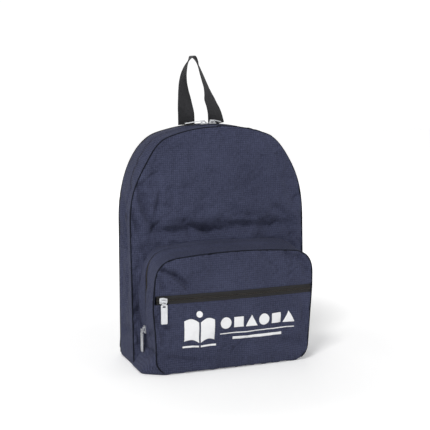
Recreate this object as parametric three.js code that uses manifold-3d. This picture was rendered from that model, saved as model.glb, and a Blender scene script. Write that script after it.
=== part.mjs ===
// A school backpack: a soft main compartment with a front pocket, three zips, a webbing
// grab handle and two padded shoulder straps. Millimetres, X across the bag, Y from the
// front to the back, Z up. The bag stands on Z = 0.
import * as THREE from "three";
import { mergeVertices } from "three/addons/utils/BufferGeometryUtils.js";
import Module from "manifold-3d";

const wasm = await Module();
wasm.setup();

// ---- Driving dimensions ----
const GAP = 0.3; // clearance between pieces that touch
const SKIN = 1.6; // cloth with its lining

const BODY = { halfWidth: 157, height: 396, backY: 92, topLean: 20, corner: 5, bulge: 10 };
const SHOULDER = { startZ: 235, endX: 90, pullUp: 82, pullIn: 38 };
const CROWN_RADIUS = 300; // arc over the top of the bag
const FOLD_Z = 215; // the open front flap folds down here
const BACK_PAD = 12;

const POCKET = { halfWidth: 139, bottom: 0.5, frontY: -65, bulge: 6, corner: 25 };
// The pocket's foot spreads on the left, behind its front seam, and is tucked in on the right.
const POCKET_FOOT = { left: { halfWidth: 158, corner: 5 }, right: { halfWidth: 139, corner: 25 } };
const POCKET_TUCK = { share: 0.06, upTo: 128 };
const POCKET_TOP = { startZ: 150, cornerX: 100, cornerZ: 191, crownZ: 196, rise: 9 };
const POCKET_FOLD_Z = 37; // the open pocket folds down here
const FACE_ZIP_Z = 124;

const TAPE = { thickness: 1, below: SKIN + GAP, halfWidth: 10 };
const COIL = { halfWidth: 1.9, top: 0.2, split: 0.35 };
const MAIN_ZIP = { behindSeam: 24, opening: 2.6, meetX: -8, pullDroop: 7 };
const ORGANISER_ZIP = { y: -14, opening: 4.5, sliderZ: 66 };
const FACE_ZIP = { opening: 6.5, halfLength: 135 };

const SLIDER = { length: 13, width: 10, plate: 1.8, bridge: 4.6, bridgeWidth: 3.4, lift: 0.5 };
const PULL_HEADING = { left: 130, right: 50 }; // degrees from +X
const PULL = { length: 31, width: 10.5, thickness: 1.6, link: 6.5, wire: 1.3 };
const BAIL_ABOVE = 0.55; // clearance of a bail over its slider's bridge
const TAB_DROP = 6.4; // from a bail's pivot to its tab's

const HANDLE = { y: 86, width: 30, thickness: 2.4 };
const STRAP = { width: 60, endWidth: 40, thickness: 10 };
const WEBBING = { width: 25, thickness: 1.8 };
const LOCK = { width: 36, height: 30, thickness: 4, x: 92, z: 122 };
const YOKE = { halfWidth: 76, bottom: 350, top: 386, thickness: 3 };
const PIPING_RADIUS = 1.7;

// ---- Materials ----
const matte = (color, roughness) => new THREE.MeshStandardMaterial({ color, roughness, metalness: 0 });
const NAVY = () => matte(0x2b3050, 0.85);
const NAVY_PIPING = () => matte(0x1d2138, 0.8);
const BLACK_WEBBING = () => matte(0x17171a, 0.8);
const BLACK_TAPE = () => matte(0x111113, 0.75);
const BLACK_PLASTIC = () => matte(0x141416, 0.45);
const FOAM = () => matte(0x77797d, 0.95);
const BOARD = () => matte(0x2a2a2c, 0.6);
const ZINC = () => new THREE.MeshStandardMaterial({ color: 0xc9ccd0, roughness: 0.28, metalness: 1 });

const bag = new THREE.Group();

function addPiece(name, geometry, material) {
  const mesh = new THREE.Mesh(geometry, material);
  mesh.name = name;
  bag.add(mesh);
  return mesh;
}

// ---- Helpers that turn a rule into a closed body ----
function signedVolume(points, faces) {
  let sum = 0;
  const normal = new THREE.Vector3();
  for (let i = 0; i < faces.length; i += 3) {
    normal.crossVectors(points[faces[i + 1]], points[faces[i + 2]]);
    sum += points[faces[i]].dot(normal);
  }
  return sum;
}

// A sheet between two surfaces, each given as a function of u and v from 0 to 1, with
// its rim closed.
function sheet(rows, columns, outer, inner) {
  const points = [];
  for (const surface of [outer, inner]) {
    for (let i = 0; i <= rows; i += 1) {
      for (let j = 0; j <= columns; j += 1) {
        points.push(surface(i / rows, j / columns));
      }
    }
  }
  const at = (side, i, j) => (side * (rows + 1) + i) * (columns + 1) + j;
  const faces = [];
  const quad = (a, b, c, d) => faces.push(a, b, c, a, c, d);
  for (let i = 0; i < rows; i += 1) {
    for (let j = 0; j < columns; j += 1) {
      quad(at(0, i, j), at(0, i + 1, j), at(0, i + 1, j + 1), at(0, i, j + 1));
      quad(at(1, i, j), at(1, i, j + 1), at(1, i + 1, j + 1), at(1, i + 1, j));
    }
    quad(at(0, i + 1, 0), at(0, i, 0), at(1, i, 0), at(1, i + 1, 0));
    quad(at(0, i, columns), at(0, i + 1, columns), at(1, i + 1, columns), at(1, i, columns));
  }
  for (let j = 0; j < columns; j += 1) {
    quad(at(0, 0, j), at(0, 0, j + 1), at(1, 0, j + 1), at(1, 0, j));
    quad(at(0, rows, j + 1), at(0, rows, j), at(1, rows, j), at(1, rows, j + 1));
  }
  if (signedVolume(points, faces) < 0) {
    faces.reverse();
  }
  return new THREE.BufferGeometry().setFromPoints(points).setIndex(faces);
}

// Joins closed geometries into one body.
function join(...geometries) {
  const solids = geometries.map((geometry) => {
    const plain = geometry.clone();
    plain.deleteAttribute("normal");
    plain.deleteAttribute("uv");
    const merged = mergeVertices(plain, 1e-4);
    return new wasm.Manifold(
      new wasm.Mesh({
        numProp: 3,
        vertProperties: merged.attributes.position.array,
        triVerts: new Uint32Array(merged.index.array),
      }),
    );
  });
  const mesh = solids.reduce((sum, solid) => sum.add(solid)).getMesh();
  const joined = new THREE.BufferGeometry();
  joined.setAttribute("position", new THREE.BufferAttribute(mesh.vertProperties, 3));
  joined.setIndex(new THREE.BufferAttribute(mesh.triVerts, 1));
  return joined;
}

// A flat strip that follows a path. side(u) is the direction of its width.
function strip(path, side, widthAt, thickness, steps) {
  const surface = (lift) => (u, v) => {
    const across = side(u).normalize();
    const normal = new THREE.Vector3().crossVectors(path.getTangentAt(u), across).normalize();
    const point = path.getPointAt(u);
    return point
      .addScaledVector(across, (v - 0.5) * widthAt(u))
      .addScaledVector(normal, lift);
  };
  return sheet(steps, 1, surface(thickness / 2), surface(-thickness / 2));
}

function cord(points, radius, steps, sides = 6) {
  const section = new THREE.Shape();
  for (let i = 0; i < sides; i += 1) {
    const angle = (2 * Math.PI * i) / sides;
    const corner = [radius * Math.cos(angle), radius * Math.sin(angle)];
    i === 0 ? section.moveTo(...corner) : section.lineTo(...corner);
  }
  const extrudePath = new THREE.CatmullRomCurve3(points);
  return new THREE.ExtrudeGeometry(section, { steps, extrudePath, bevelEnabled: false });
}

function roundedRectangle(width, height, radius) {
  const shape = new THREE.Shape();
  const x = width / 2 - radius;
  const y = height / 2 - radius;
  shape.absarc(x, y, radius, 0, Math.PI / 2);
  shape.absarc(-x, y, radius, Math.PI / 2, Math.PI);
  shape.absarc(-x, -y, radius, Math.PI, 1.5 * Math.PI);
  shape.absarc(x, -y, radius, 1.5 * Math.PI, 2 * Math.PI);
  shape.closePath();
  return shape;
}

// ---- Surfaces of the main compartment ----
const seamY = (z) => (BODY.topLean * z) / BODY.height;

function frontSurface(x, z) {
  const across = Math.max(0, 1 - (x / BODY.halfWidth) ** 2);
  const up = Math.sin(Math.PI * THREE.MathUtils.clamp(z / BODY.height, 0, 1)) ** 0.6;
  return seamY(z) - BODY.bulge * across * up;
}

// The right half of the outline, seen from the front, from the fold up to the crown.
function upperOutline() {
  const { halfWidth, height } = BODY;
  const crownAngle = Math.acos(SHOULDER.endX / CROWN_RADIUS);
  const crownZ = height - CROWN_RADIUS;
  const endZ = crownZ + CROWN_RADIUS * Math.sin(crownAngle);
  const path = new THREE.Path();
  path.moveTo(halfWidth, FOLD_Z + GAP);
  path.lineTo(halfWidth, SHOULDER.startZ);
  path.bezierCurveTo(
    halfWidth,
    SHOULDER.startZ + SHOULDER.pullUp,
    SHOULDER.endX + SHOULDER.pullIn * Math.sin(crownAngle),
    endZ - SHOULDER.pullIn * Math.cos(crownAngle),
    SHOULDER.endX,
    endZ,
  );
  path.absarc(0, crownZ, CROWN_RADIUS, crownAngle, Math.PI / 2, false);
  return path;
}

// The right half of the outline from the base's corner up to the fold.
function lowerOutline() {
  const { halfWidth, corner } = BODY;
  const path = new THREE.Path();
  path.absarc(halfWidth - corner, corner, corner, -Math.PI / 2, 0, false);
  path.lineTo(halfWidth, FOLD_Z - GAP);
  return path;
}

// A point on a half outline, pushed outwards by offset, as [x, z].
function outlinePoint(path, t, offset) {
  const point = path.getPointAt(t);
  const tangent = path.getTangentAt(t);
  return [point.x + tangent.y * offset, point.y - tangent.x * offset];
}

// A band over the whole arch, from the left fold to the right one. frontEdge and
// backEdge give Y from x and z.
function archBand(path, steps, frontEdge, backEdge, top, bottom, rise = () => 0) {
  const surface = (offset) => (u, v) => {
    const side = u < 0.5 ? -1 : 1;
    const [x, z] = outlinePoint(path, 1 - Math.abs(2 * u - 1), offset);
    const y = THREE.MathUtils.lerp(frontEdge(x, z), backEdge(x, z), v);
    return new THREE.Vector3(side * x, y, z + rise(z, y));
  };
  return sheet(steps, 1, surface(top), surface(bottom));
}

// A panel across the bag between two shares of a half outline's length.
function crossPanel(path, steps, columns, from, to, surfaceY, thickness, inset = 0) {
  const surface = (depth) => (u, v) => {
    const [halfWidth, z] = outlinePoint(path, THREE.MathUtils.lerp(from, to, u), -inset);
    const x = (2 * v - 1) * halfWidth;
    return new THREE.Vector3(x, surfaceY(x, z) + depth, z);
  };
  return sheet(steps, columns, surface(0), surface(thickness));
}

const UPPER = upperOutline();
const LOWER = lowerOutline();
const ARCH_STEPS = 28;
const CROWN_END = 0.94; // the flat panels stop just short of the crown's tip
const zipY = (x, z) => seamY(z) + MAIN_ZIP.behindSeam;
const gussetFront = (x, z) => seamY(z) + SKIN + GAP;
const gussetBack = () => BODY.backY - BACK_PAD - GAP;

// ---- Main compartment ----
function addFrontPanel() {
  addPiece("front_panel_lower", crossPanel(LOWER, 9, 8, 0, 1, frontSurface, SKIN), NAVY());
  addPiece("front_panel_upper", crossPanel(UPPER, 11, 8, 0, CROWN_END, frontSurface, SKIN), NAVY());
}

function addBackPanel() {
  const flat = () => BODY.backY - BACK_PAD;
  const whole = new THREE.Path();
  for (const point of [...LOWER.getSpacedPoints(7), ...UPPER.getSpacedPoints(14)]) {
    const isFirst = whole.currentPoint.equals({ x: 0, y: 0 });
    isFirst ? whole.moveTo(point.x, point.y) : whole.lineTo(point.x, point.y);
  }
  addPiece("back_panel", crossPanel(whole, 18, 2, 0, 0.97, flat, BACK_PAD), NAVY());
  const foamY = () => BODY.backY - BACK_PAD - GAP - 2.4;
  addPiece("back_foam", crossPanel(whole, 12, 2, 0.08, 0.94, foamY, 2.4, 8), FOAM());
}

function addSidePanels() {
  for (const [name, side] of [["side_panel_left", -1], ["side_panel_right", 1]]) {
    const surface = (offset) => (u, v) => {
      const [x, z] = outlinePoint(LOWER, u, offset);
      return new THREE.Vector3(side * x, THREE.MathUtils.lerp(gussetFront(x, z), gussetBack(), v), z);
    };
    addPiece(name, sheet(9, 1, surface(0), surface(-SKIN)), NAVY());
  }
}

function addBase() {
  const half = BODY.halfWidth - BODY.corner - GAP;
  const surface = (z) => (u, v) =>
    new THREE.Vector3((2 * u - 1) * half, THREE.MathUtils.lerp(gussetFront(0, 0), gussetBack(), v), z);
  addPiece("base_panel", sheet(2, 1, surface(0), surface(SKIN)), NAVY());
  const board = new THREE.BoxGeometry(2 * half - 12, gussetBack() - gussetFront(0, 0) - 8, 2);
  board.translate(0, (gussetBack() + gussetFront(0, 0)) / 2, SKIN + GAP + 1);
  addPiece("base_board", board, BOARD());
}

function addTopGusset() {
  const zipFront = (x, z) => zipY(x, z) - MAIN_ZIP.opening;
  const zipBack = (x, z) => zipY(x, z) + MAIN_ZIP.opening;
  addPiece("top_gusset_front", archBand(UPPER, ARCH_STEPS, gussetFront, zipFront, 0, -SKIN), NAVY());
  addPiece("top_gusset_rear", archBand(UPPER, ARCH_STEPS, zipBack, gussetBack, 0, -SKIN), NAVY());
}

// A zip's tape and coil on each side of its line over an arch.
function addArchZip(prefix, path, steps, lineY, add, rise) {
  for (const [half, sign] of [["front", -1], ["rear", 1]]) {
    const edge = (distance) => (x, z) => lineY(x, z) + sign * distance;
    const tapeTop = -TAPE.below;
    const tapeBottom = tapeTop - TAPE.thickness;
    const tape = archBand(path, steps, edge(COIL.split), edge(TAPE.halfWidth), tapeTop, tapeBottom, rise);
    add(`${prefix}_tape_${half}`, tape, BLACK_TAPE());
    const coil = archBand(path, steps, edge(COIL.split), edge(COIL.halfWidth), -COIL.top, -SKIN, rise);
    add(`${prefix}_coil_${half}`, coil, BLACK_TAPE());
  }
}

// A seam cord that runs outside an arch.
function archCord(path, y, from, steps) {
  const points = [];
  for (let i = 0; i <= steps; i += 1) {
    const u = THREE.MathUtils.lerp(from, 2 - from, i / steps);
    const [x, z] = outlinePoint(path, u <= 1 ? u : 2 - u, PIPING_RADIUS + 4 * GAP);
    points.push(new THREE.Vector3(u < 1 ? -x : x, y(x, z), z));
  }
  return cord(points, PIPING_RADIUS, steps, 6);
}

function addMainPiping() {
  const front = (x, z) => seamY(z) + 1;
  addPiece("front_seam_piping", archCord(UPPER, front, 0, 32), NAVY_PIPING());
  const back = () => BODY.backY - BACK_PAD + 1;
  addPiece("back_seam_binding", archCord(UPPER, back, 0, 32), NAVY_PIPING());
}

// ---- Front pocket ----
function pocketSurface(x, z) {
  const across = Math.max(0, 1 - (x / POCKET.halfWidth) ** 2);
  const up = Math.sin((Math.PI * z) / POCKET_TOP.crownZ) ** 0.5 || 0;
  return POCKET.frontY - POCKET.bulge * across * up;
}

// The right half of the pocket's outline from the base up to its fold.
function pocketLowerOutline(footHalfWidth, corner, bottom) {
  const path = new THREE.Path();
  path.absarc(footHalfWidth - corner, bottom + corner, corner, -Math.PI / 2, 0, false);
  path.lineTo(POCKET.halfWidth, POCKET_FOLD_Z - GAP);
  return path;
}

function pocketUpperOutline() {
  const { startZ, cornerX, cornerZ, crownZ } = POCKET_TOP;
  const path = new THREE.Path();
  path.moveTo(POCKET.halfWidth, POCKET_FOLD_Z + GAP);
  path.lineTo(POCKET.halfWidth, startZ);
  path.bezierCurveTo(POCKET.halfWidth, startZ + 27, cornerX + 25, cornerZ - 2, cornerX, cornerZ);
  path.quadraticCurveTo(cornerX / 2, crownZ, 0, crownZ);
  return path;
}

const POCKET_LOWER = pocketLowerOutline(POCKET.halfWidth, POCKET.corner, POCKET.bottom);
const POCKET_UPPER = pocketUpperOutline();
const pocketGussetFront = (x, z) => Math.min(POCKET.frontY, pocketSurface(x, z)) + SKIN + GAP;
const pocketGussetBack = (x, z) => frontSurface(x, z) - GAP;

// The pocket's half width at a height on its straight sides or its top corners.
function pocketHeightToPath(z) {
  const length = POCKET_UPPER.getLength();
  return (z - POCKET_FOLD_Z - GAP) / length;
}

// Adds a piece of the pocket, with its right side tucked in towards the foot.
function addPocketPiece(name, geometry, material) {
  const points = geometry.attributes.position;
  for (let i = 0; i < points.count; i += 1) {
    if (points.getX(i) > 0) {
      const low = THREE.MathUtils.clamp(1 - points.getZ(i) / POCKET_TUCK.upTo, 0, 1);
      points.setX(i, points.getX(i) * (1 - POCKET_TUCK.share * low));
    }
  }
  return addPiece(name, geometry, material);
}

// The gusset's top climbs towards the bag.
function pocketRise(z, y) {
  const top = THREE.MathUtils.smoothstep(z, POCKET_TOP.startZ, POCKET_TOP.crownZ);
  return POCKET_TOP.rise * top * THREE.MathUtils.clamp((y - POCKET.frontY) / -POCKET.frontY, 0, 1);
}

function addPocketFace() {
  const below = pocketHeightToPath(FACE_ZIP_Z - FACE_ZIP.opening);
  const above = pocketHeightToPath(FACE_ZIP_Z + FACE_ZIP.opening);
  const face = (path, steps, from, to) => crossPanel(path, steps, 8, from, to, pocketSurface, SKIN);
  addPocketPiece("pocket_face_base", face(POCKET_LOWER, 5, 0, 1), NAVY());
  addPocketPiece("pocket_face_lower", face(POCKET_UPPER, 4, 0, below), NAVY());
  addPocketPiece("pocket_face_upper", face(POCKET_UPPER, 10, above, CROWN_END), NAVY());
}

function addPocketGusset() {
  const zipFront = () => ORGANISER_ZIP.y - ORGANISER_ZIP.opening;
  const zipBack = () => ORGANISER_ZIP.y + ORGANISER_ZIP.opening;
  const front = archBand(POCKET_UPPER, 24, pocketGussetFront, zipFront, 0, -SKIN, pocketRise);
  const rear = archBand(POCKET_UPPER, 24, zipBack, pocketGussetBack, 0, -SKIN, pocketRise);
  addPocketPiece("pocket_gusset_front", front, NAVY());
  addPocketPiece("pocket_gusset_rear", rear, NAVY());
}

// How far the gusset's front edge has become its rear one.
const spread = (v) => Math.min(1, 3 * v);

// The part of the gusset that never opens: the two lower sides and the strip under the pocket.
function addPocketBase() {
  for (const [word, side] of [["left", -1], ["right", 1]]) {
    const foot = POCKET_FOOT[word];
    const rear = pocketLowerOutline(foot.halfWidth, foot.corner, 0);
    const surface = (offset) => (u, v) => {
      const [frontX, frontZ] = outlinePoint(POCKET_LOWER, u, offset);
      const [rearX, rearZ] = outlinePoint(rear, u, offset);
      const x = THREE.MathUtils.lerp(frontX, rearX, spread(v));
      const z = THREE.MathUtils.lerp(frontZ, rearZ, spread(v));
      const y = THREE.MathUtils.lerp(pocketGussetFront(x, z), pocketGussetBack(x, z) - GAP, v);
      return new THREE.Vector3(side * x, y, z);
    };
    addPocketPiece(`pocket_side_${word}`, sheet(7, 3, surface(0), surface(-SKIN)), NAVY());
  }
  const room = 8 * GAP;
  const frontHalf = POCKET.halfWidth - POCKET.corner - room;
  const leftHalf = POCKET_FOOT.left.halfWidth - POCKET_FOOT.left.corner - room;
  const rightHalf = POCKET_FOOT.right.halfWidth - POCKET_FOOT.right.corner - room;
  const surface = (z) => (u, v) => {
    const left = -THREE.MathUtils.lerp(frontHalf, leftHalf, spread(v));
    const right = THREE.MathUtils.lerp(frontHalf, rightHalf, spread(v));
    const x = THREE.MathUtils.lerp(left, right, u);
    const y = THREE.MathUtils.lerp(pocketGussetFront(x, 0), pocketGussetBack(x, SKIN) - GAP, v);
    return new THREE.Vector3(x, y, z);
  };
  addPocketPiece("pocket_base_strip", sheet(8, 3, surface(0), surface(SKIN)), NAVY());
}

function addFaceZip() {
  const half = FACE_ZIP.halfLength;
  const band = (lowZ, highZ, top, bottom) => {
    const surface = (depth) => (u, v) => {
      const x = (2 * u - 1) * half;
      const z = THREE.MathUtils.lerp(lowZ, highZ, v);
      return new THREE.Vector3(x, pocketSurface(x, z) + depth, z);
    };
    return sheet(16, 1, surface(top), surface(bottom));
  };
  const tapeTop = TAPE.below;
  for (const [name, sign] of [["face_zip_tape_lower", -1], ["face_zip_tape_upper", 1]]) {
    const inner = FACE_ZIP_Z + sign * COIL.split;
    const outer = FACE_ZIP_Z + sign * (TAPE.halfWidth + 2);
    addPiece(name, band(inner, outer, tapeTop, tapeTop + TAPE.thickness), BLACK_TAPE());
  }
  const coil = band(FACE_ZIP_Z - COIL.halfWidth, FACE_ZIP_Z + COIL.halfWidth, COIL.top, SKIN);
  addPiece("face_zip_coil", coil, BLACK_TAPE());
}

function addPocketPiping() {
  const y = (x, z) => pocketSurface(x, z) + 1;
  addPocketPiece("pocket_piping", archCord(POCKET_UPPER, y, 0, 28), NAVY_PIPING());
}

// ---- Zip sliders and pullers ----
// Built lying flat: the slider travels along X and its top faces +Z.
function sliderGeometry() {
  const { length, width, plate, bridge, bridgeWidth } = SLIDER;
  const outline = new THREE.Shape();
  outline.moveTo(-length / 2, -width * 0.32);
  outline.lineTo(0, -width / 2);
  outline.lineTo(length * 0.42, -width / 2);
  outline.lineTo(length / 2, -width * 0.36);
  outline.lineTo(length / 2, width * 0.36);
  outline.lineTo(length * 0.42, width / 2);
  outline.lineTo(0, width / 2);
  outline.lineTo(-length / 2, width * 0.32);
  outline.closePath();
  const body = new THREE.ExtrudeGeometry(outline, { depth: plate, bevelEnabled: false });
  const arch = new THREE.Shape();
  arch.moveTo(-length * 0.4, plate / 2);
  arch.lineTo(-length * 0.34, bridge - 0.8);
  arch.lineTo(-length * 0.2, bridge);
  arch.lineTo(length * 0.2, bridge);
  arch.lineTo(length * 0.34, bridge - 0.8);
  arch.lineTo(length * 0.4, plate / 2);
  arch.lineTo(length * 0.26, plate / 2);
  arch.lineTo(length * 0.2, bridge - 1.2);
  arch.lineTo(-length * 0.2, bridge - 1.2);
  arch.lineTo(-length * 0.26, plate / 2);
  arch.closePath();
  const loop = new THREE.ExtrudeGeometry(arch, { depth: bridgeWidth, bevelEnabled: false });
  loop.translate(0, 0, -bridgeWidth / 2);
  loop.rotateX(Math.PI / 2);
  return join(body, loop);
}

// The bail between slider and tab, hanging along -Y from its pivot at the origin, flat
// in the XY plane.
function linkGeometry() {
  const { link, wire } = PULL;
  const shape = roundedRectangle(SLIDER.bridgeWidth + 2 * GAP + 3.2 * wire, link, 1.4);
  shape.holes.push(roundedRectangle(SLIDER.bridgeWidth + 2 * GAP + 1.2 * wire, link - 2 * wire, 0.7));
  const ring = new THREE.ExtrudeGeometry(shape, { depth: wire, bevelEnabled: false, curveSegments: 2 });
  ring.translate(0, -link / 2 + wire, -wire / 2);
  return ring;
}

// The tab hangs along -Y from its eye at the origin.
function tabGeometry() {
  const { length, width, thickness } = PULL;
  const shape = roundedRectangle(width, length, 1.6);
  const slot = roundedRectangle(width * 0.52, 2.4, 1.1);
  const moved = slot.getPoints(3).map((p) => p.clone().add(new THREE.Vector2(0, length / 2 - 3)));
  shape.holes.push(new THREE.Path(moved));
  const tab = new THREE.ExtrudeGeometry(shape, { depth: thickness, bevelEnabled: false, curveSegments: 3 });
  tab.translate(0, -length / 2 + 0.6, -thickness / 2);
  return tab;
}

// The slider of the face zip, its bail and its tab, hanging down the pocket's face. The
// zip follows the face's bulge, which is an arc about an upright axis inside the bag.
function addFaceSlider() {
  const frontY = pocketSurface(0, FACE_ZIP_Z);
  const radius = POCKET.halfWidth ** 2 / (2 * (POCKET.frontY - frontY));
  const startX = -FACE_ZIP.halfLength + SLIDER.length / 2 + 2;
  const carrier = new THREE.Group();
  carrier.position.set(0, frontY + radius, FACE_ZIP_Z);
  carrier.rotation.z = Math.asin(startX / radius);
  bag.add(carrier);
  const slider = addPiece("face_slider", sliderGeometry(), ZINC());
  slider.position.y = -radius - SLIDER.lift;
  slider.rotation.set(Math.PI / 2, 0, Math.PI);
  const linkY = slider.position.y - SLIDER.bridge - PULL.wire / 2 - BAIL_ABOVE;
  const link = addPiece("face_pull_link", linkGeometry(), ZINC());
  link.position.y = linkY;
  link.rotation.x = Math.PI / 2;
  const tab = addPiece("face_pull_tab", tabGeometry(), ZINC());
  tab.position.set(0, linkY, -TAB_DROP);
  tab.rotation.x = Math.PI / 2;
  carrier.add(slider, link, tab);
}

// The main zip's two sliders meet near the crown, nose to nose, their pulls lying down
// towards the back.
function addMainSliders() {
  for (const [word, side] of [["left", -1], ["right", 1]]) {
    const turn = (MAIN_ZIP.meetX + side * (SLIDER.length / 2 + 1)) / CROWN_RADIUS;
    const carrier = new THREE.Group();
    carrier.position.set(0, zipY(0, BODY.height), BODY.height - CROWN_RADIUS);
    carrier.rotation.y = turn;
    bag.add(carrier);
    const slider = addPiece(`main_slider_${word}`, sliderGeometry(), ZINC());
    slider.position.z = CROWN_RADIUS + SLIDER.lift;
    slider.rotation.z = side > 0 ? Math.PI : 0;
    const pull = addPiece(`main_pull_${word}`, flatPullGeometry(), ZINC());
    pull.position.z = slider.position.z + SLIDER.bridge + PULL.wire / 2 + BAIL_ABOVE;
    const heading = THREE.MathUtils.degToRad(90 + (side > 0 ? PULL_HEADING.right : PULL_HEADING.left));
    pull.rotation.set(THREE.MathUtils.degToRad(MAIN_ZIP.pullDroop), 0, heading, "ZYX");
    carrier.add(slider, pull);
  }
}

// A bail and tab in one line, for a pull that only flips.
function flatPullGeometry() {
  const tab = tabGeometry();
  tab.translate(0, -PULL.link + PULL.wire + 0.9, 0);
  return join(linkGeometry(), tab);
}

// The slider of the zip round the pocket, low on its left side.
function addOrganiserSlider() {
  const slider = addPiece("organiser_slider", sliderGeometry(), ZINC());
  const [edgeX] = outlinePoint(POCKET_UPPER, pocketHeightToPath(ORGANISER_ZIP.sliderZ), SLIDER.lift);
  const x = -edgeX - 1;
  slider.position.set(x, ORGANISER_ZIP.y, ORGANISER_ZIP.sliderZ);
  slider.rotation.set(0, -Math.PI / 2, Math.PI);
  const linkX = x - SLIDER.bridge - PULL.wire / 2 - BAIL_ABOVE;
  const link = addPiece("organiser_pull_link", linkGeometry(), ZINC());
  link.position.set(linkX, ORGANISER_ZIP.y, ORGANISER_ZIP.sliderZ);
  link.rotation.set(Math.PI / 2, 0, -Math.PI / 2, "ZYX");
  const tab = addPiece("organiser_pull_tab", tabGeometry(), ZINC());
  tab.position.set(linkX, ORGANISER_ZIP.y, ORGANISER_ZIP.sliderZ - TAB_DROP);
  tab.rotation.set(Math.PI / 2, 0, -Math.PI / 2, "ZYX");
}

// ---- Grab handle ----
// Sewn flat across the bag at both ends, each leg turns until the peak of the loop lies
// front to back. A station is X, Z and how far the webbing has turned, in degrees.
function addHandle() {
  const stations = [
    [-31, 399.5, 0],
    [-31.5, 409, 2],
    [-33, 435, 16],
    [-35, 468, 36],
    [-32, 490, 64],
    [-18, 509, 90],
    [-5, 495, 76],
    [4, 469, 66],
    [8, 446, 44],
    [15, 424, 26],
    [22.5, 409, 4],
    [23.5, 399.5, 0],
  ];
  const path = new THREE.CatmullRomCurve3(stations.map(([x, z]) => new THREE.Vector3(x, HANDLE.y, z)));
  const side = (u) => {
    const place = path.getUtoTmapping(u) * (stations.length - 1);
    const before = Math.min(Math.floor(place), stations.length - 2);
    const degrees = THREE.MathUtils.lerp(stations[before][2], stations[before + 1][2], place - before);
    const turn = THREE.MathUtils.degToRad(degrees);
    const across = new THREE.Vector3(Math.cos(turn), Math.sin(turn), 0);
    const tangent = path.getTangentAt(u);
    return across.addScaledVector(tangent, -across.dot(tangent));
  };
  addPiece("grab_handle", strip(path, side, () => HANDLE.width, HANDLE.thickness, 32), BLACK_WEBBING());
}

// ---- Shoulder straps, with what adjusts them ----
function strapPath(side) {
  const back = BODY.backY;
  return new THREE.CatmullRomCurve3([
    new THREE.Vector3(side * 42, back + 7, YOKE.bottom - 7),
    new THREE.Vector3(side * 52, back + 26, 312),
    new THREE.Vector3(side * 66, back + 35, 255),
    new THREE.Vector3(side * 80, back + 33, 200),
    new THREE.Vector3(side * LOCK.x, back + 22, LOCK.z + LOCK.height / 2 + 6),
  ]);
}

function addStrap(word, side) {
  const path = strapPath(side);
  const across = (u) => {
    const tangent = path.getTangentAt(u);
    return new THREE.Vector3(-tangent.z, 0, tangent.x);
  };
  const narrowing = (u) => THREE.MathUtils.smoothstep(u, 0.2, 1);
  const width = (u) => THREE.MathUtils.lerp(STRAP.width, STRAP.endWidth, narrowing(u));
  addPiece(`shoulder_strap_${word}`, strip(path, across, width, STRAP.thickness, 14), NAVY());
}

function lockGeometry() {
  const shape = roundedRectangle(LOCK.width, LOCK.height, 3);
  const slotWidth = WEBBING.width + 3;
  for (const z of [-8.2, 0.4, 9]) {
    const slot = roundedRectangle(slotWidth, 4.2, 1);
    shape.holes.push(new THREE.Path(slot.getPoints(2).map((p) => p.clone().add(new THREE.Vector2(0, z)))));
  }
  const settings = { depth: LOCK.thickness, bevelEnabled: false, curveSegments: 2 };
  const lock = new THREE.ExtrudeGeometry(shape, settings);
  lock.translate(0, 0, -LOCK.thickness / 2);
  return lock;
}

function addAdjuster(word, side) {
  const back = BODY.backY;
  const y = back + 22;
  const lock = addPiece(`ladder_lock_${word}`, lockGeometry(), BLACK_PLASTIC());
  lock.position.set(side * LOCK.x, y, LOCK.z);
  lock.rotation.set(Math.PI / 2, 0, 0);

  const flat = (path) => (u) => {
    const tangent = path.getTangentAt(u);
    return new THREE.Vector3(-tangent.z, 0, tangent.x);
  };
  const lower = new THREE.CatmullRomCurve3([
    new THREE.Vector3(side * LOCK.x, y - LOCK.thickness / 2 - 1.6, LOCK.z + 2),
    new THREE.Vector3(side * (LOCK.x + 2), y - 6, LOCK.z - 18),
    new THREE.Vector3(side * (LOCK.x + 14), y - 14, 66),
    new THREE.Vector3(side * (LOCK.x + 26), back + 4.4, 36),
  ]);
  const lowerStrip = strip(lower, flat(lower), () => WEBBING.width, WEBBING.thickness, 10);
  addPiece(`lower_webbing_${word}`, lowerStrip, BLACK_WEBBING());

  const tail = new THREE.CatmullRomCurve3([
    new THREE.Vector3(side * LOCK.x, y + LOCK.thickness / 2 + 1.6, LOCK.z + 2),
    new THREE.Vector3(side * LOCK.x, y + 6, LOCK.z - 22),
    new THREE.Vector3(side * LOCK.x, y + 7, LOCK.z - 62),
    new THREE.Vector3(side * LOCK.x, y + 6, LOCK.z - 104),
  ]);
  const tailStrip = strip(tail, flat(tail), () => WEBBING.width, WEBBING.thickness, 8);
  addPiece(`webbing_tail_${word}`, tailStrip, BLACK_WEBBING());

  const tab = new THREE.Shape();
  tab.moveTo(side * 148, 10);
  tab.lineTo(side * 148, 64);
  tab.lineTo(side * 104, 44);
  tab.lineTo(side * 108, 28);
  tab.closePath();
  const tabBody = new THREE.ExtrudeGeometry(tab, { depth: 2.6, bevelEnabled: false });
  tabBody.rotateX(Math.PI / 2);
  tabBody.translate(0, back + GAP + 2.6, 0);
  addPiece(`anchor_tab_${word}`, tabBody, NAVY());
}

function addYoke() {
  const { halfWidth, bottom, top, thickness } = YOKE;
  const yoke = new THREE.BoxGeometry(2 * halfWidth, thickness, top - bottom);
  yoke.translate(0, BODY.backY + GAP + thickness / 2, (top + bottom) / 2 + GAP);
  addPiece("strap_yoke", yoke, NAVY());
}

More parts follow.
